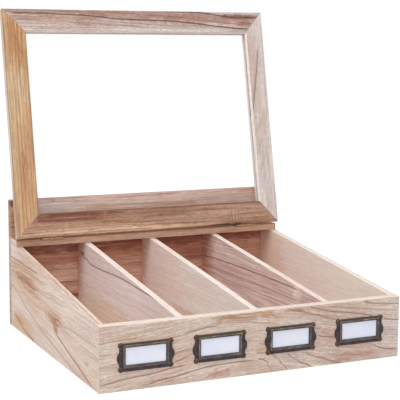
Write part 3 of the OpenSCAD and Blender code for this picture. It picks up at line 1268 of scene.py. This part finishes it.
    rail: Timber = Timber(
        "hinge_rail_timber",
        SIDEWAYS,
        (232, 196, 172),
        (222, 180, 150),
        (150, 100, 74),
        ring_depth=0.35,
        lines=0.4,
        seed=8.0,
        patches=(
            Patch(24, 98, 66, 14, 0.95, (206, 168, 142)),
            Patch(3, 98, 24, 14, 0.7, (184, 144, 114)),
            Patch(148, 96, 12, 5, 0.6, (204, 186, 186)),
            Patch(262, 98, 60, 14, 0.8, (218, 176, 149)),
            # Painted shadow: a thin dark line at the rail's right end.
            Patch(330, 98, 1.4, 20, 0.7, (110, 80, 64)),
        ),
    )
    rail_end: Timber = Timber(
        "hinge_rail_end_timber", LENGTHWAYS, (220, 208, 200), (212, 196, 188), (176, 146, 130), seed=9.0
    )
    base: Timber = Timber(
        "bottom_timber", FLAT, (236, 216, 202), (226, 200, 182), (184, 142, 118), dash=0.6, seed=12.0
    )

    def build(self) -> list[bpy.types.Object]:
        """Builds the six boards.

        Returns:
            The boards.
        """
        boards = (
            ("front_panel", "box_wood", self.front, self.front_edge, self.left, None),
            ("left_side", "box_wood", self.left, self.left_edge, self.left, None),
            ("right_side", "box_wood", self.right, self.right_edge, self.right, self.right_outside),
            ("backboard", "box_wood", self.back, self.back_top, self.back_edge, self.back_outside),
            ("base_panel", "box_wood", self.base, self.base, self.base, None),
            ("hinge_rail", "rail_wood", self.rail, self.rail, self.rail_end, None),
        )
        return [
            Board(node, Body.BOX, slot, face, edge, end, self.ease, rear=rear).build()
            for node, slot, face, edge, end, rear in boards
        ]


@dataclass
class Dividers:
    """The three boards that part the compartments."""

    edge: Timber = Timber(
        "divider_edge_timber",
        FLAT_LENGTHWAYS,
        (242, 230, 224),
        (236, 220, 210),
        (206, 176, 160),
        ring_depth=0.1,
        lines=0.3,
        dash=0.5,
    )
    first: Timber = Timber(
        "left_divider_timber",
        LENGTHWAYS,
        (243, 229, 228),
        (235, 217, 213),
        (130, 92, 80),
        ring_depth=0.12,
        lines=0.2,
        dash=0.6,
        seed=20.0,
        veins=(
            Vein(
                (
                    (45, 69.5), (70, 71), (100, 72), (150, 73.6),
                    (200, 72.2), (232, 71.8), (250, 75), (270, 79),
                ),
                0.8,
                1.3,
            ),
        ),
        patches=(
            Patch(150, 18, 160, 24, 0.7, (232, 206, 180)),
            Patch(268, 80, 7, 3, 0.7, (110, 76, 70)),
            # Painted shade: a warm darker tint towards the back, where the backboard shades the divider and
            # throws its red-brown light on it.
            Patch(295, 60, 26, 90, 0.8, (228, 184, 160)),
        ),
    )
    second: Timber = Timber(
        "middle_divider_timber",
        LENGTHWAYS,
        (236, 228, 222),
        (230, 216, 208),
        (190, 158, 140),
        ring_depth=0.12,
        lines=0.2,
        dash=0.6,
        seed=24.0,
        veins=(Vein(((116, 28), (150, 29.5), (204, 30)), 0.5, 1.6),),
        patches=(
            Patch(235, 60, 80, 60, 0.7, (234, 208, 200)),
            Patch(162, 26.4, 44, 3.0, 0.7, (216, 170, 138)),
            # Painted shade: a warm darker tint towards the back, where the backboard shades the divider and
            # throws its red-brown light on it.
            Patch(295, 60, 26, 90, 0.8, (230, 188, 164)),
        ),
    )
    third: Timber = Timber(
        "right_divider_timber",
        LENGTHWAYS,
        (230, 206, 200),
        (218, 188, 182),
        (122, 84, 76),
        ring_depth=0.3,
        lines=0.4,
        seed=28.0,
        veins=(
            Vein(((50, 66), (150, 67), (240, 66), (285, 61)), 0.8, 1.3),
            Vein(((50, 54), (150, 55), (240, 54), (285, 50)), 0.6),
            Vein(((50, 46), (240, 46)), 0.5),
            Vein(((50, 42), (240, 42)), 0.5),
        ),
        patches=(
            Patch(57, 62, 9, 13, 0.85, (240, 224, 212)),
            # Painted shade: a warm darker tint towards the back, where the backboard shades the divider and
            # throws its red-brown light on it.
            Patch(290, 60, 42, 90, 0.8, (206, 152, 130)),
        ),
    )

    def build(self) -> list[bpy.types.Object]:
        """Builds the three dividers.

        Returns:
            The dividers.
        """
        boards = {"left_divider": self.first, "middle_divider": self.second, "right_divider": self.third}
        return [
            Board(node, Body.BOX, "divider_wood", face, self.edge, self.edge).build()
            for node, face in boards.items()
        ]


@dataclass
class Lid:
    """The glazed lid: four mitred frame members round a pane."""

    front: Timber = Timber(
        "lid_front_rail_timber",
        LID_SIDEWAYS,
        (208, 192, 184),
        (196, 176, 166),
        (96, 62, 50),
        light=(226, 210, 202),
        ring_depth=0.3,
        lines=0.45,
        dash=1.6,
        dash_size=(5.0, 1.3),
        seed=40.0,
        flow=((0, 6), (60, 6), (100, 4.5), (150, 1), (240, -3), (330, -9)),
        veins=(
            Vein(
                (
                    (5, 256), (60, 255.5), (100, 254), (150, 250),
                    (200, 249), (240, 246), (290, 241), (318, 240),
                ),
                0.9,
                1.5,
            ),
            Vein(((190, 261), (250, 259), (300, 254), (329, 254)), 0.9, 1.6, halo=-4.0, stain=0.4),
            Vein(((20, 252), (80, 251), (130, 247)), 0.35),
            Vein(((60, 259), (120, 258.5), (180, 256)), 0.4),
        ),
        patches=(
            Patch(60, 260, 130, 5.5, 0.75, (170, 128, 116)),
            Patch(160, 256, 90, 6.5, 0.75, (172, 130, 116)),
            Patch(240, 252, 70, 6.5, 0.75, (170, 126, 112)),
            Patch(305, 249, 40, 8, 0.75, (178, 134, 118)),
            Patch(298, 256, 32, 3, 0.7, (118, 76, 60)),
            Patch(310, 247, 18, 3, 0.6, (128, 84, 68)),
            Patch(60, 249.5, 60, 3.4, 0.6, (172, 140, 126)),
            Patch(64, 248, 60, 10, 0.3, (194, 152, 138)),
            Patch(140, 246, 70, 4, 0.55, (178, 152, 140)),
            Patch(215, 243, 50, 3, 0.4, (178, 152, 140)),
            Patch(14, 256, 14, 8, 0.6, (188, 164, 140)),
            Patch(165, 237, 200, 2.6, 0.7, (222, 208, 200)),
        ),
    )
    back: Timber = Timber(
        "lid_back_rail_timber",
        LID_SIDEWAYS,
        (184, 148, 126),
        (168, 128, 104),
        (94, 58, 42),
        light=(214, 182, 152),
        ring_depth=0.3,
        lines=0.45,
        dash=1.7,
        dash_size=(7.0, 1.2),
        seed=44.0,
        veins=(
            Vein(((8, 4.2), (60, 3.4), (110, 3.6), (170, 4.0)), 0.6),
            Vein(((14, 9.5), (60, 10.2), (110, 9.8), (150, 8.6)), 0.45),
            Vein(((24, 25.4), (70, 25.0), (130, 24.0)), 0.6, 1.3),
            Vein(((1, 262.5), (17, 263)), 0.5, 1.0, 4.0, Run.ACROSS),
            Vein(((1, 267), (19, 266.6)), 0.6, 0.9, 4.0, Run.ACROSS),
            Vein(((1, 271), (14, 271.4)), 0.6, 1.0, 4.0, Run.ACROSS),
            Vein(((1, 275.6), (20, 276)), 0.5, 0.9, 4.0, Run.ACROSS),
            Vein(((1, 280), (12, 279.6)), 0.6, 1.0, 4.0, Run.ACROSS),
            Vein(((2, 217), (12, 217.4)), 0.35, 0.9, 4.0, Run.ACROSS),
            Vein(((2, 222), (13, 222)), 0.3, 0.9, 4.0, Run.ACROSS),
            Vein(((2, 227), (11, 227.4)), 0.35, 0.9, 4.0, Run.ACROSS),
        ),
        patches=(
            Patch(60, 22.5, 60, 6, 0.95, (134, 85, 67)),
            Patch(36, 21.5, 18, 5.5, 0.6, (130, 82, 64)),
            # Painted shade: a thin dark line along the edge by the pane, where the frame's inner wall lies in
            # shade.
            Patch(165, 26.8, 400, 1.6, 0.85, (122, 84, 66)),
            Patch(180, 21, 80, 6, 0.5, (150, 108, 86)),
            Patch(76, 9.0, 96, 3.6, 0.7, (210, 172, 146)),
            Patch(100, 4.6, 130, 2.6, 0.9, (232, 198, 170)),
            Patch(200, 3.6, 70, 1.6, 0.8, (220, 184, 152)),
            Patch(120, 9.2, 60, 1.2, 0.6, (214, 178, 148)),
            Patch(308, 8, 18, 5, 0.5, (164, 112, 80)),
            Patch(268, 10, 22, 6, 0.25, (146, 102, 76)),
            # Painted shadow: the dark gap between the lid and the hinge rail, on the right.
            Patch(268, 1.0, 46, 2.8, 0.95, (70, 38, 22)),
            Patch(286, 17, 44, 9, 0.6, (204, 166, 143)),
        ),
    )
    left: Timber = Timber(
        "lid_left_stile_timber",
        LID_UPWARDS,
        (212, 178, 142),
        (198, 158, 118),
        (146, 98, 64),
        light=(226, 202, 170),
        ring_depth=0.3,
        ring_gap=5.0,
        lines=0.5,
        dash=1.2,
        seed=48.0,
        veins=(
            Vein(((0, 7), (130, 8), (262, 8)), 0.5),
            Vein(((0, 12), (130, 12), (262, 13)), 0.6, 1.1),
            Vein(((0, 16), (262, 16)), 0.5),
            Vein(((0, 20), (130, 20.5), (262, 20)), 0.5),
        ),
        patches=(
            Patch(228, 12, 46, 14, 0.7, (182, 132, 88)),
            Patch(168, 12, 40, 10, 0.5, (212, 188, 154)),
            Patch(176, 12.5, 13, 3.2, 0.7, (220, 200, 168)),
            Patch(50, 13, 52, 14, 0.4, (196, 150, 104)),
            Patch(74, 13, 26, 3, 0.6, (168, 116, 80)),
            Patch(210, 16, 24, 3, 0.5, (160, 108, 70)),
            Patch(120, 2, 130, 3.5, 0.6, (196, 172, 138)),
        ),
    )
    left_edge: Timber = Timber(
        "lid_left_edge_timber",
        LID_EDGEWAYS,
        (225, 210, 198),
        (213, 194, 179),
        (120, 84, 60),
        ring_depth=0.2,
        lines=0.4,
        seed=49.0,
        veins=(Vein(((-10, 7.0), (130, 7.2), (280, 7.0)), 0.95, 2.4, 1.0),),
        patches=(Patch(30, 3, 50, 16, 0.75, (200, 165, 137)),),
    )
    front_edge: Timber = Timber(
        "lid_front_edge_timber",
        LID_SIDEWAYS,
        (228, 216, 211),
        (220, 206, 199),
        (190, 162, 148),
        ring_depth=0.1,
        lines=0.25,
        seed=51.0,
    )
    pale_edge: Timber = Timber(
        "lid_pale_edge_timber",
        LID_UPWARDS,
        (232, 221, 216),
        (226, 213, 207),
        (206, 186, 174),
        ring_depth=0.05,
        lines=0.1,
        seed=50.0,
    )
    right: Timber = Timber(
        "lid_right_stile_timber",
        LID_UPWARDS,
        (220, 210, 204),
        (212, 198, 192),
        (136, 106, 96),
        ring_depth=0.12,
        lines=0.3,
        dash_size=(6.0, 1.3),
        seed=52.0,
        veins=(
            Vein(
                ((122, 303), (140, 308), (165, 313), (190, 318), (222, 323)), 0.75, 1.7, halo=-6.0, stain=0.45
            ),
            Vein(((55, 310), (75, 316), (92, 325)), 0.4, 1.1),
            Vein(((78, 307), (95, 313), (112, 324)), 0.45, 1.1),
            Vein(((98, 305), (115, 311), (134, 323)), 0.4, 1.1),
            Vein(((112, 314), (128, 320), (140, 328)), 0.35, 1.1),
            Vein(((180, 304), (205, 308), (236, 309)), 0.4, 1.1),
            Vein(((150, 326), (180, 328), (220, 329)), 0.3, 1.1),
        ),
        patches=(
            Patch(194, 310, 54, 8, 0.75, (203, 181, 167)),
            Patch(150, 326, 60, 6, 0.4, (216, 206, 208)),
            Patch(160, 318, 90, 14, 0.4, (202, 178, 168)),
            Patch(90, 316, 40, 9, 0.3, (202, 180, 166)),
            Patch(122, 323, 20, 4, 0.5, (210, 174, 158)),
        ),
    )
    pane: Pane = Pane()
    ease: float = 0.25

    def build(self) -> list[bpy.types.Object]:
        """Builds the frame and dresses the pane.

        Returns:
            The frame members.
        """
        looks = {
            "lid_front_rail": (self.front, self.front_edge, 0.8),
            "lid_back_rail": (self.back, self.back, 0.6),
            "lid_left_stile": (self.left, self.left_edge, 0.6),
            "lid_right_stile": (self.right, self.pale_edge, 0.8),
        }
        dress("lid_glass", self.pane.make())
        return [
            Board(node, Body.LID, "lid_wood", face, edge, face, self.ease, square).build()
            for node, (face, edge, square) in looks.items()
        ]


@dataclass
class Hinges:
    """Two bronze hinges with stop tabs, their pins and their screws."""

    leaf: Metal = Metal("hinge_bronze", (218, 179, 148), (192, 153, 123), 0.5, 0.3)
    screw: Metal = Metal("screw_bronze", (186, 148, 112), (140, 104, 78), 0.5, 0.3, seed=5.0)

    def build(self) -> None:
        """Dresses the hinges' CAD nodes."""
        leaf = self.leaf.make()
        screw = self.screw.make()
        for side in ("left", "right"):
            for part in ("hinge_rail_leaf", "hinge_lid_leaf"):
                dress(f"{side}_{part}", leaf)
            dress(f"{side}_hinge_pin", screw)
        for screws in ("rail_leaf_screws", "lid_leaf_screws"):
            dress(screws, screw)


class Bronze(IntEnum):
    """Which finish of a label holder a face takes."""

    FLANGE = 0
    RIM = 1
    LINE = 2
    RING = 3
    BOSS = 4


@dataclass
class LabelHolders:
    """Four pressed bronze frames for labels, each with its card and four pins.

    Heights and widths are measured from the middle of a holder's four pins. Outline is the right half of the
    flange's outline. Ear and head are turned forms: radius and height of each step, from the wood up. Crest
    is the least angle of an edge that is rounded, in radians.
    """

    count: int = 4
    pin_x: float = 25.25
    pin_z: float = 11.4
    window_low: tuple[float, float] = (-20.55, -7.4)
    window_high: tuple[float, float] = (20.55, 9.1)
    rim: float = 2.6
    rim_height: float = 2.2
    rim_inner_round: float = 1.5
    rim_outer_round: float = 0.75
    flange: float = 1.1
    flange_soft: float = 0.9
    flange_edge_round: float = 0.35
    crest: float = 0.5
    slack: float = 0.1
    outline: Points = (
        (25.6, -13.4),
        (26.7, -8.6),
        (26.7, -6.6),
        (28.8, -3.4),
        (29.1, -0.8),
        (28.8, 1.8),
        (26.7, 5.0),
        (26.7, 8.6),
        (25.6, 13.4),
    )
    ear: Points = ((2.7, 0.0), (2.7, 0.9), (2.3, 1.35), (2.0, 1.3), (1.8, 1.6), (1.35, 1.6), (1.15, 1.1))
    head: Points = ((1.2, 0.8), (1.15, 1.4), (0.85, 1.8), (0.45, 2.0), (0.0, 2.05))
    ear_finishes: tuple[Bronze, ...] = (Bronze.BOSS,) * 3 + (Bronze.RING,) * 2 + (Bronze.BOSS,)
    head_finishes: tuple[Bronze, ...] = (Bronze.BOSS,) * 4
    sides: int = 20
    dark: Metal = Metal(
        "bronze_flange", (66, 56, 62), (42, 33, 41), 0.7, 0.5, 0.4, 0.55, upper=(42.6, 44.6, (80, 66, 60))
    )
    worn: Metal = Metal("bronze_rim", (106, 99, 98), (74, 67, 68), 0.5, 0.6, 0.34, 0.5, grain=2.0, seed=3.0)
    # A painted highlight: the thin bright line along the rim's outer edge, in the colour of worn brass.
    line: Metal = Metal("rim_painted_highlight", (172, 156, 124), (104, 92, 74), 0.4, 0.6, grain=2.0, seed=7.0)
    ring: Metal = Metal("brass_ring", (160, 132, 92), (92, 72, 54), 0.4, 0.7, seed=6.0)
    boss: Metal = Metal("bronze_boss", (80, 60, 48), (48, 35, 32), 0.6, 0.5, 0.4, 0.55, seed=9.0)
    card: Paper = Paper()

    def build(self) -> list[bpy.types.Object]:
        """Builds the holders and their pins, and dresses the cards.

        Returns:
            The holders and the pins.
        """
        finishes = [metal.make() for metal in (self.dark, self.worn, self.line, self.ring, self.boss)]
        paper = self.card.make()
        pins = Bench("label_pin_heads", Body.BOX, "label_metal")
        pieces = []
        for number in range(1, self.count + 1):
            node = f"label_holder_{number}"
            low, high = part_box(node)
            centre = Vector(((low.x + high.x) / 2, high.y, (low.z + high.z) / 2))
            bench = Bench(f"bronze_{node}", Body.BOX, "label_metal")
            self._plate(bench.work)
            self._rim(bench.work)
            self._turned(bench.work, self.ear, self.ear_finishes)
            self._stand(bench.work, centre)
            pieces.append(bench.finish(finishes, (node,)))
            heads = bmesh.new()
            self._turned(heads, self.head, self.head_finishes)
            self._stand(heads, centre)
            self._add(pins.work, heads)
            dress(f"label_card_{number}", paper)
        pieces.append(pins.finish(finishes, ("label_pins",)))
        return pieces

    def _crest(self, edge: bmesh.types.BMEdge, top: list[bmesh.types.BMVert]) -> bool:
        """Tells the sharp edges of a form's upper face from the rest.

        Args:
            edge: an edge of the form.
            top: the corners of its upper face.

        Returns:
            True for an edge that stands out round the upper face.
        """
        return all(v in top for v in edge.verts) and edge.calc_face_angle_signed(0.0) > self.crest

    def _thicken(self, sheet: bmesh.types.BMesh, height: float) -> list[bmesh.types.BMVert]:
        """Gives a flat sheet its height.

        Args:
            sheet: the sheet's faces.
            height: the height in millimetres.

        Returns:
            The corners of its upper face.
        """
        made = bmesh.ops.extrude_face_region(sheet, geom=sheet.faces[:])
        top = [v for v in made["geom"] if isinstance(v, bmesh.types.BMVert)]
        bmesh.ops.translate(sheet, verts=top, vec=(0.0, 0.0, height * MM))
        bmesh.ops.recalc_face_normals(sheet, faces=sheet.faces)
        return top

    def _plate(self, work: bmesh.types.BMesh) -> None:
        """Adds the flat flange with its waists and bulges, open at the window and rounded along its outline,
        where the bosses' lighter brown is painted as a highlight.

        Args:
            work: the bmesh to add to.
        """
        start = bmesh.new()
        corners = [start.verts.new((x * MM, y * MM, 0.0)) for x, y in self.outline]
        corners += [start.verts.new((-x * MM, y * MM, 0.0)) for x, y in reversed(self.outline)]
        start.faces.new(corners)
        soft = [v for v in start.verts if abs(v.co.y) < self.pin_z * MM]
        bmesh.ops.bevel(
            start,
            geom=soft,
            offset=self.flange_soft * MM,
            segments=3,
            profile=0.5,
            affect="VERTICES",
            material=-1,
        )
        (left, low), (right, high) = self.window_low, self.window_high
        window = ((left, low), (right, low), (right, high), (left, high))
        start.faces.new([start.verts.new((x * MM, y * MM, 0.0)) for x, y in window])
        bmesh.ops.delete(start, geom=start.faces[:], context="FACES_ONLY")
        bmesh.ops.triangle_fill(start, use_beauty=True, edges=start.edges[:])
        bmesh.ops.recalc_face_normals(start, faces=start.faces)
        top = self._thicken(start, self.flange)
        reach = (right + 2 * self.rim) * MM
        brow = (high + self.rim) * MM
        border = [
            e
            for e in start.edges
            if self._crest(e, top) and any(abs(v.co.x) > reach or abs(v.co.y) > brow for v in e.verts)
        ]
        # The rounded outline takes the bosses' lighter brown: a painted highlight.
        for face in round_edges(start, border, self.flange_edge_round, 2):
            face.material_index = Bronze.BOSS
        self._add(work, start)

    def _rim(self, work: bmesh.types.BMesh) -> None:
        """Adds the rounded rim round the window, with a thin bright line along its outer edge that is a
        painted highlight in the colour of worn brass.

        Args:
            work: the bmesh to add to.
        """
        start = bmesh.new()
        (left, low), (right, high) = self.window_low, self.window_high
        wide = right - left + 2 * self.rim
        tall = high - low + 2 * self.rim
        middle = ((left + right) / 2 * MM, (low + high) / 2 * MM, 0.0)
        bmesh.ops.create_grid(start, x_segments=1, y_segments=1, size=0.5)
        bmesh.ops.scale(start, verts=start.verts, vec=(wide * MM, tall * MM, 1.0))
        bmesh.ops.translate(start, verts=start.verts, vec=middle)
        window = start.faces[:]
        bmesh.ops.inset_region(
            start, faces=window, thickness=self.rim * MM, use_boundary=True, use_even_offset=True
        )
        bmesh.ops.delete(start, geom=window, context="FACES_ONLY")
        top = self._thicken(start, self.rim_height)
        crest = [e for e in start.edges if self._crest(e, top)]
        low_x, high_x = (left - self.slack) * MM, (right + self.slack) * MM
        inside = [e for e in crest if all(low_x < v.co.x < high_x for v in e.verts)]
        outside = [e for e in crest if e not in inside]
        round_edges(start, inside, self.rim_inner_round, 3)
        for face in round_edges(start, outside, self.rim_outer_round, 3):
            face.material_index = Bronze.LINE
        for face in start.faces:
            if face.material_index != Bronze.LINE:
                face.material_index = Bronze.RIM
        self._add(work, start)

    def _turned(self, work: bmesh.types.BMesh, profile: Points, finishes: tuple[Bronze, ...]) -> None:
        """Adds one turned form at each of the four pins.

        Args:
            work: the bmesh to add to.
            profile: radius and height of the form's outline, from the wood up.
            finishes: the finish of each step of the outline.
        """
        form = bmesh.new()
        points = [form.verts.new((radius * MM, 0.0, height * MM)) for radius, height in profile]
        line = [form.edges.new(pair) for pair in zip(points, points[1:])]
        bmesh.ops.spin(
            form,
            geom=points + line,
            axis=(0.0, 0.0, 1.0),
            cent=(0.0, 0.0, 0.0),
            angle=math.tau,
            steps=self.sides,
            use_merge=True,
            use_duplicate=False,
        )
        bmesh.ops.remove_doubles(form, verts=form.verts, dist=WELD * MM)
        bmesh.ops.holes_fill(form, edges=[e for e in form.edges if e.is_boundary], sides=0)
        bmesh.ops.recalc_face_normals(form, faces=form.faces)
        middles = [(first[0] + second[0]) / 2 for first, second in zip(profile, profile[1:])]
        for face in form.faces:
            ring = sum(math.hypot(v.co.x, v.co.y) for v in face.verts) / len(face.verts) / MM
            nearest = min(range(len(middles)), key=lambda step: abs(middles[step] - ring))
            face.material_index = finishes[nearest]
            face.smooth = True
        for side_x in (-1, 1):
            for side_y in (-1, 1):
                copy = form.copy()
                pin = (side_x * self.pin_x * MM, side_y * self.pin_z * MM, 0.0)
                bmesh.ops.translate(copy, verts=copy.verts, vec=pin)
                self._add(work, copy)
        form.free()

    def _stand(self, work: bmesh.types.BMesh, centre: Vector) -> None:
        """Stands a flat form up against the front of the box at a holder's centre."""
        turn = Matrix.Translation(centre) @ Matrix.Rotation(math.radians(90), 4, "X")
        bmesh.ops.transform(work, matrix=turn, verts=work.verts)

    def _add(self, work: bmesh.types.BMesh, more: bmesh.types.BMesh) -> None:
        """Moves one bmesh's form into another and frees it.

        Args:
            work: the bmesh to add to.
            more: the bmesh to add.
        """
        mesh = bpy.data.meshes.new("passing")
        more.to_mesh(mesh)
        more.free()
        work.from_mesh(mesh)
        bpy.data.meshes.remove(mesh)


# ---- Studio ----


@dataclass(frozen=True)
class Lamp:
    """A soft square lamp: where it hangs and its side in metres, and its power in watts."""

    name: str
    place: Triple
    size: float
    power: float


@dataclass
class Studio:
    """The camera, plain soft light, a white surround and a floor that keeps a faint shadow.

    Place, yaw, pitch, roll, lens, sensor and shift are the camera's, and the aim is the lamps'. Lengths are
    in metres here, angles in degrees, and the lens and the sensor in millimetres.
    """

    place: Triple = (-0.52039, -1.08860, 0.31809)
    yaw: float = 23.826
    pitch: float = 7.382
    roll: float = -0.185
    lens: float = 101.834
    sensor: float = 36.0
    shift: tuple[float, float] = (0.0982, -0.01998)
    surround: float = 0.48
    aim: Triple = (0.0, 0.0, 0.08)
    lamps: tuple[Lamp, ...] = (
        Lamp("key_softbox", (-1.5, -0.6, 2.0), 1.2, 30.0),
        Lamp("fill_softbox", (-0.7, -2.4, 0.9), 1.6, 16.0),
        Lamp("top_softbox", (-0.3, -0.3, 2.4), 1.6, 12.0),
    )
    floor_size: float = 12.0
    floor_drop: float = 0.0002
    floor_white: float = 0.82
    floor_glow: float = 1.12
    floor_glow_share: float = 0.88

    def build(self) -> None:
        """Builds the camera, the lights, the surround and the floor."""
        scene = bpy.context.scene
        scene.view_settings.view_transform = "Standard"
        self._camera(scene)
        self._surround(scene)
        self._floor()
        for lamp in self.lamps:
            self._lamp(lamp)

    def _camera(self, scene: bpy.types.Scene) -> None:
        """Makes the camera.

        Args:
            scene: the scene that it shows.
        """
        yaw, pitch, roll = (math.radians(a) for a in (self.yaw, self.pitch, self.roll))
        ahead = Vector((math.sin(yaw) * math.cos(pitch), math.cos(yaw) * math.cos(pitch), -math.sin(pitch)))
        level = Vector((math.cos(yaw), -math.sin(yaw), 0.0))
        down = ahead.cross(level)
        right = math.cos(roll) * level + math.sin(roll) * down
        foot = -math.sin(roll) * level + math.cos(roll) * down
        turn = Matrix((right, -foot, -ahead)).transposed().to_4x4()
        data = bpy.data.cameras.new("studio_camera")
        data.lens = self.lens
        data.sensor_width = self.sensor
        data.shift_x, data.shift_y = self.shift
        camera = bpy.data.objects.new("studio_camera", data)
        camera.matrix_world = Matrix.Translation(self.place) @ turn
        scene.collection.objects.link(camera)
        scene.camera = camera

    def _lamp(self, lamp: Lamp) -> None:
        """Hangs one lamp and turns it to the object.

        Args:
            lamp: the lamp.
        """
        data = bpy.data.lights.new(lamp.name, "AREA")
        data.size = lamp.size
        data.energy = lamp.power
        hung = bpy.data.objects.new(lamp.name, data)
        hung.location = lamp.place
        hung.rotation_mode = "QUATERNION"
        hung.rotation_quaternion = (Vector(self.aim) - Vector(lamp.place)).to_track_quat("-Z", "Y")
        bpy.context.scene.collection.objects.link(hung)

    def _surround(self, scene: bpy.types.Scene) -> None:
        """Makes the world: white where it is seen, softer where it lights the object.

        Args:
            scene: the scene that it surrounds.
        """
        sky = Shader("white_surround", world=True)
        strength = sky.seen().spread(0.0, 1.0, self.surround, 1.0)
        white = {"Color": (1.0, 1.0, 1.0, 1.0), "Strength": strength}
        scene.world = sky.end(sky.node("ShaderNodeBackground", {}, white))

    def _floor(self) -> None:
        """Makes the floor."""
        work = bmesh.new()
        bmesh.ops.create_grid(work, x_segments=1, y_segments=1, size=self.floor_size / 2)
        bmesh.ops.translate(work, verts=work.verts, vec=(0.0, 0.0, -self.floor_drop))
        mesh = bpy.data.meshes.new("studio_floor")
        work.to_mesh(mesh)
        work.free()
        floor = bpy.data.objects.new("studio_floor", mesh)
        bpy.context.scene.collection.objects.link(floor)
        mesh.materials.append(self._floor_paint())

    def _floor_paint(self) -> bpy.types.Material:
        """Makes the floor's white, which shows a faint shadow.

        Returns:
            The material.
        """
        shader = Shader("studio_white")
        matt = shader.node("ShaderNodeBsdfDiffuse", {}, {"Color": (*(self.floor_white,) * 3, 1.0)})
        glow = shader.node("ShaderNodeEmission", {}, {"Strength": self.floor_glow})
        share = shader.seen() * self.floor_glow_share
        return shader.end(shader.node("ShaderNodeMixShader", {}, {0: share, 1: matt, 2: glow}))


def main() -> None:
    """Builds the object and its studio, and logs each piece as it is made."""
    logging.basicConfig(level=logging.INFO, format="%(name)s: %(message)s")
    Studio().build()
    Carcass().build()
    Dividers().build()
    Lid().build()
    Hinges().build()
    LabelHolders().build()


if __name__ == "__main__":
    main()
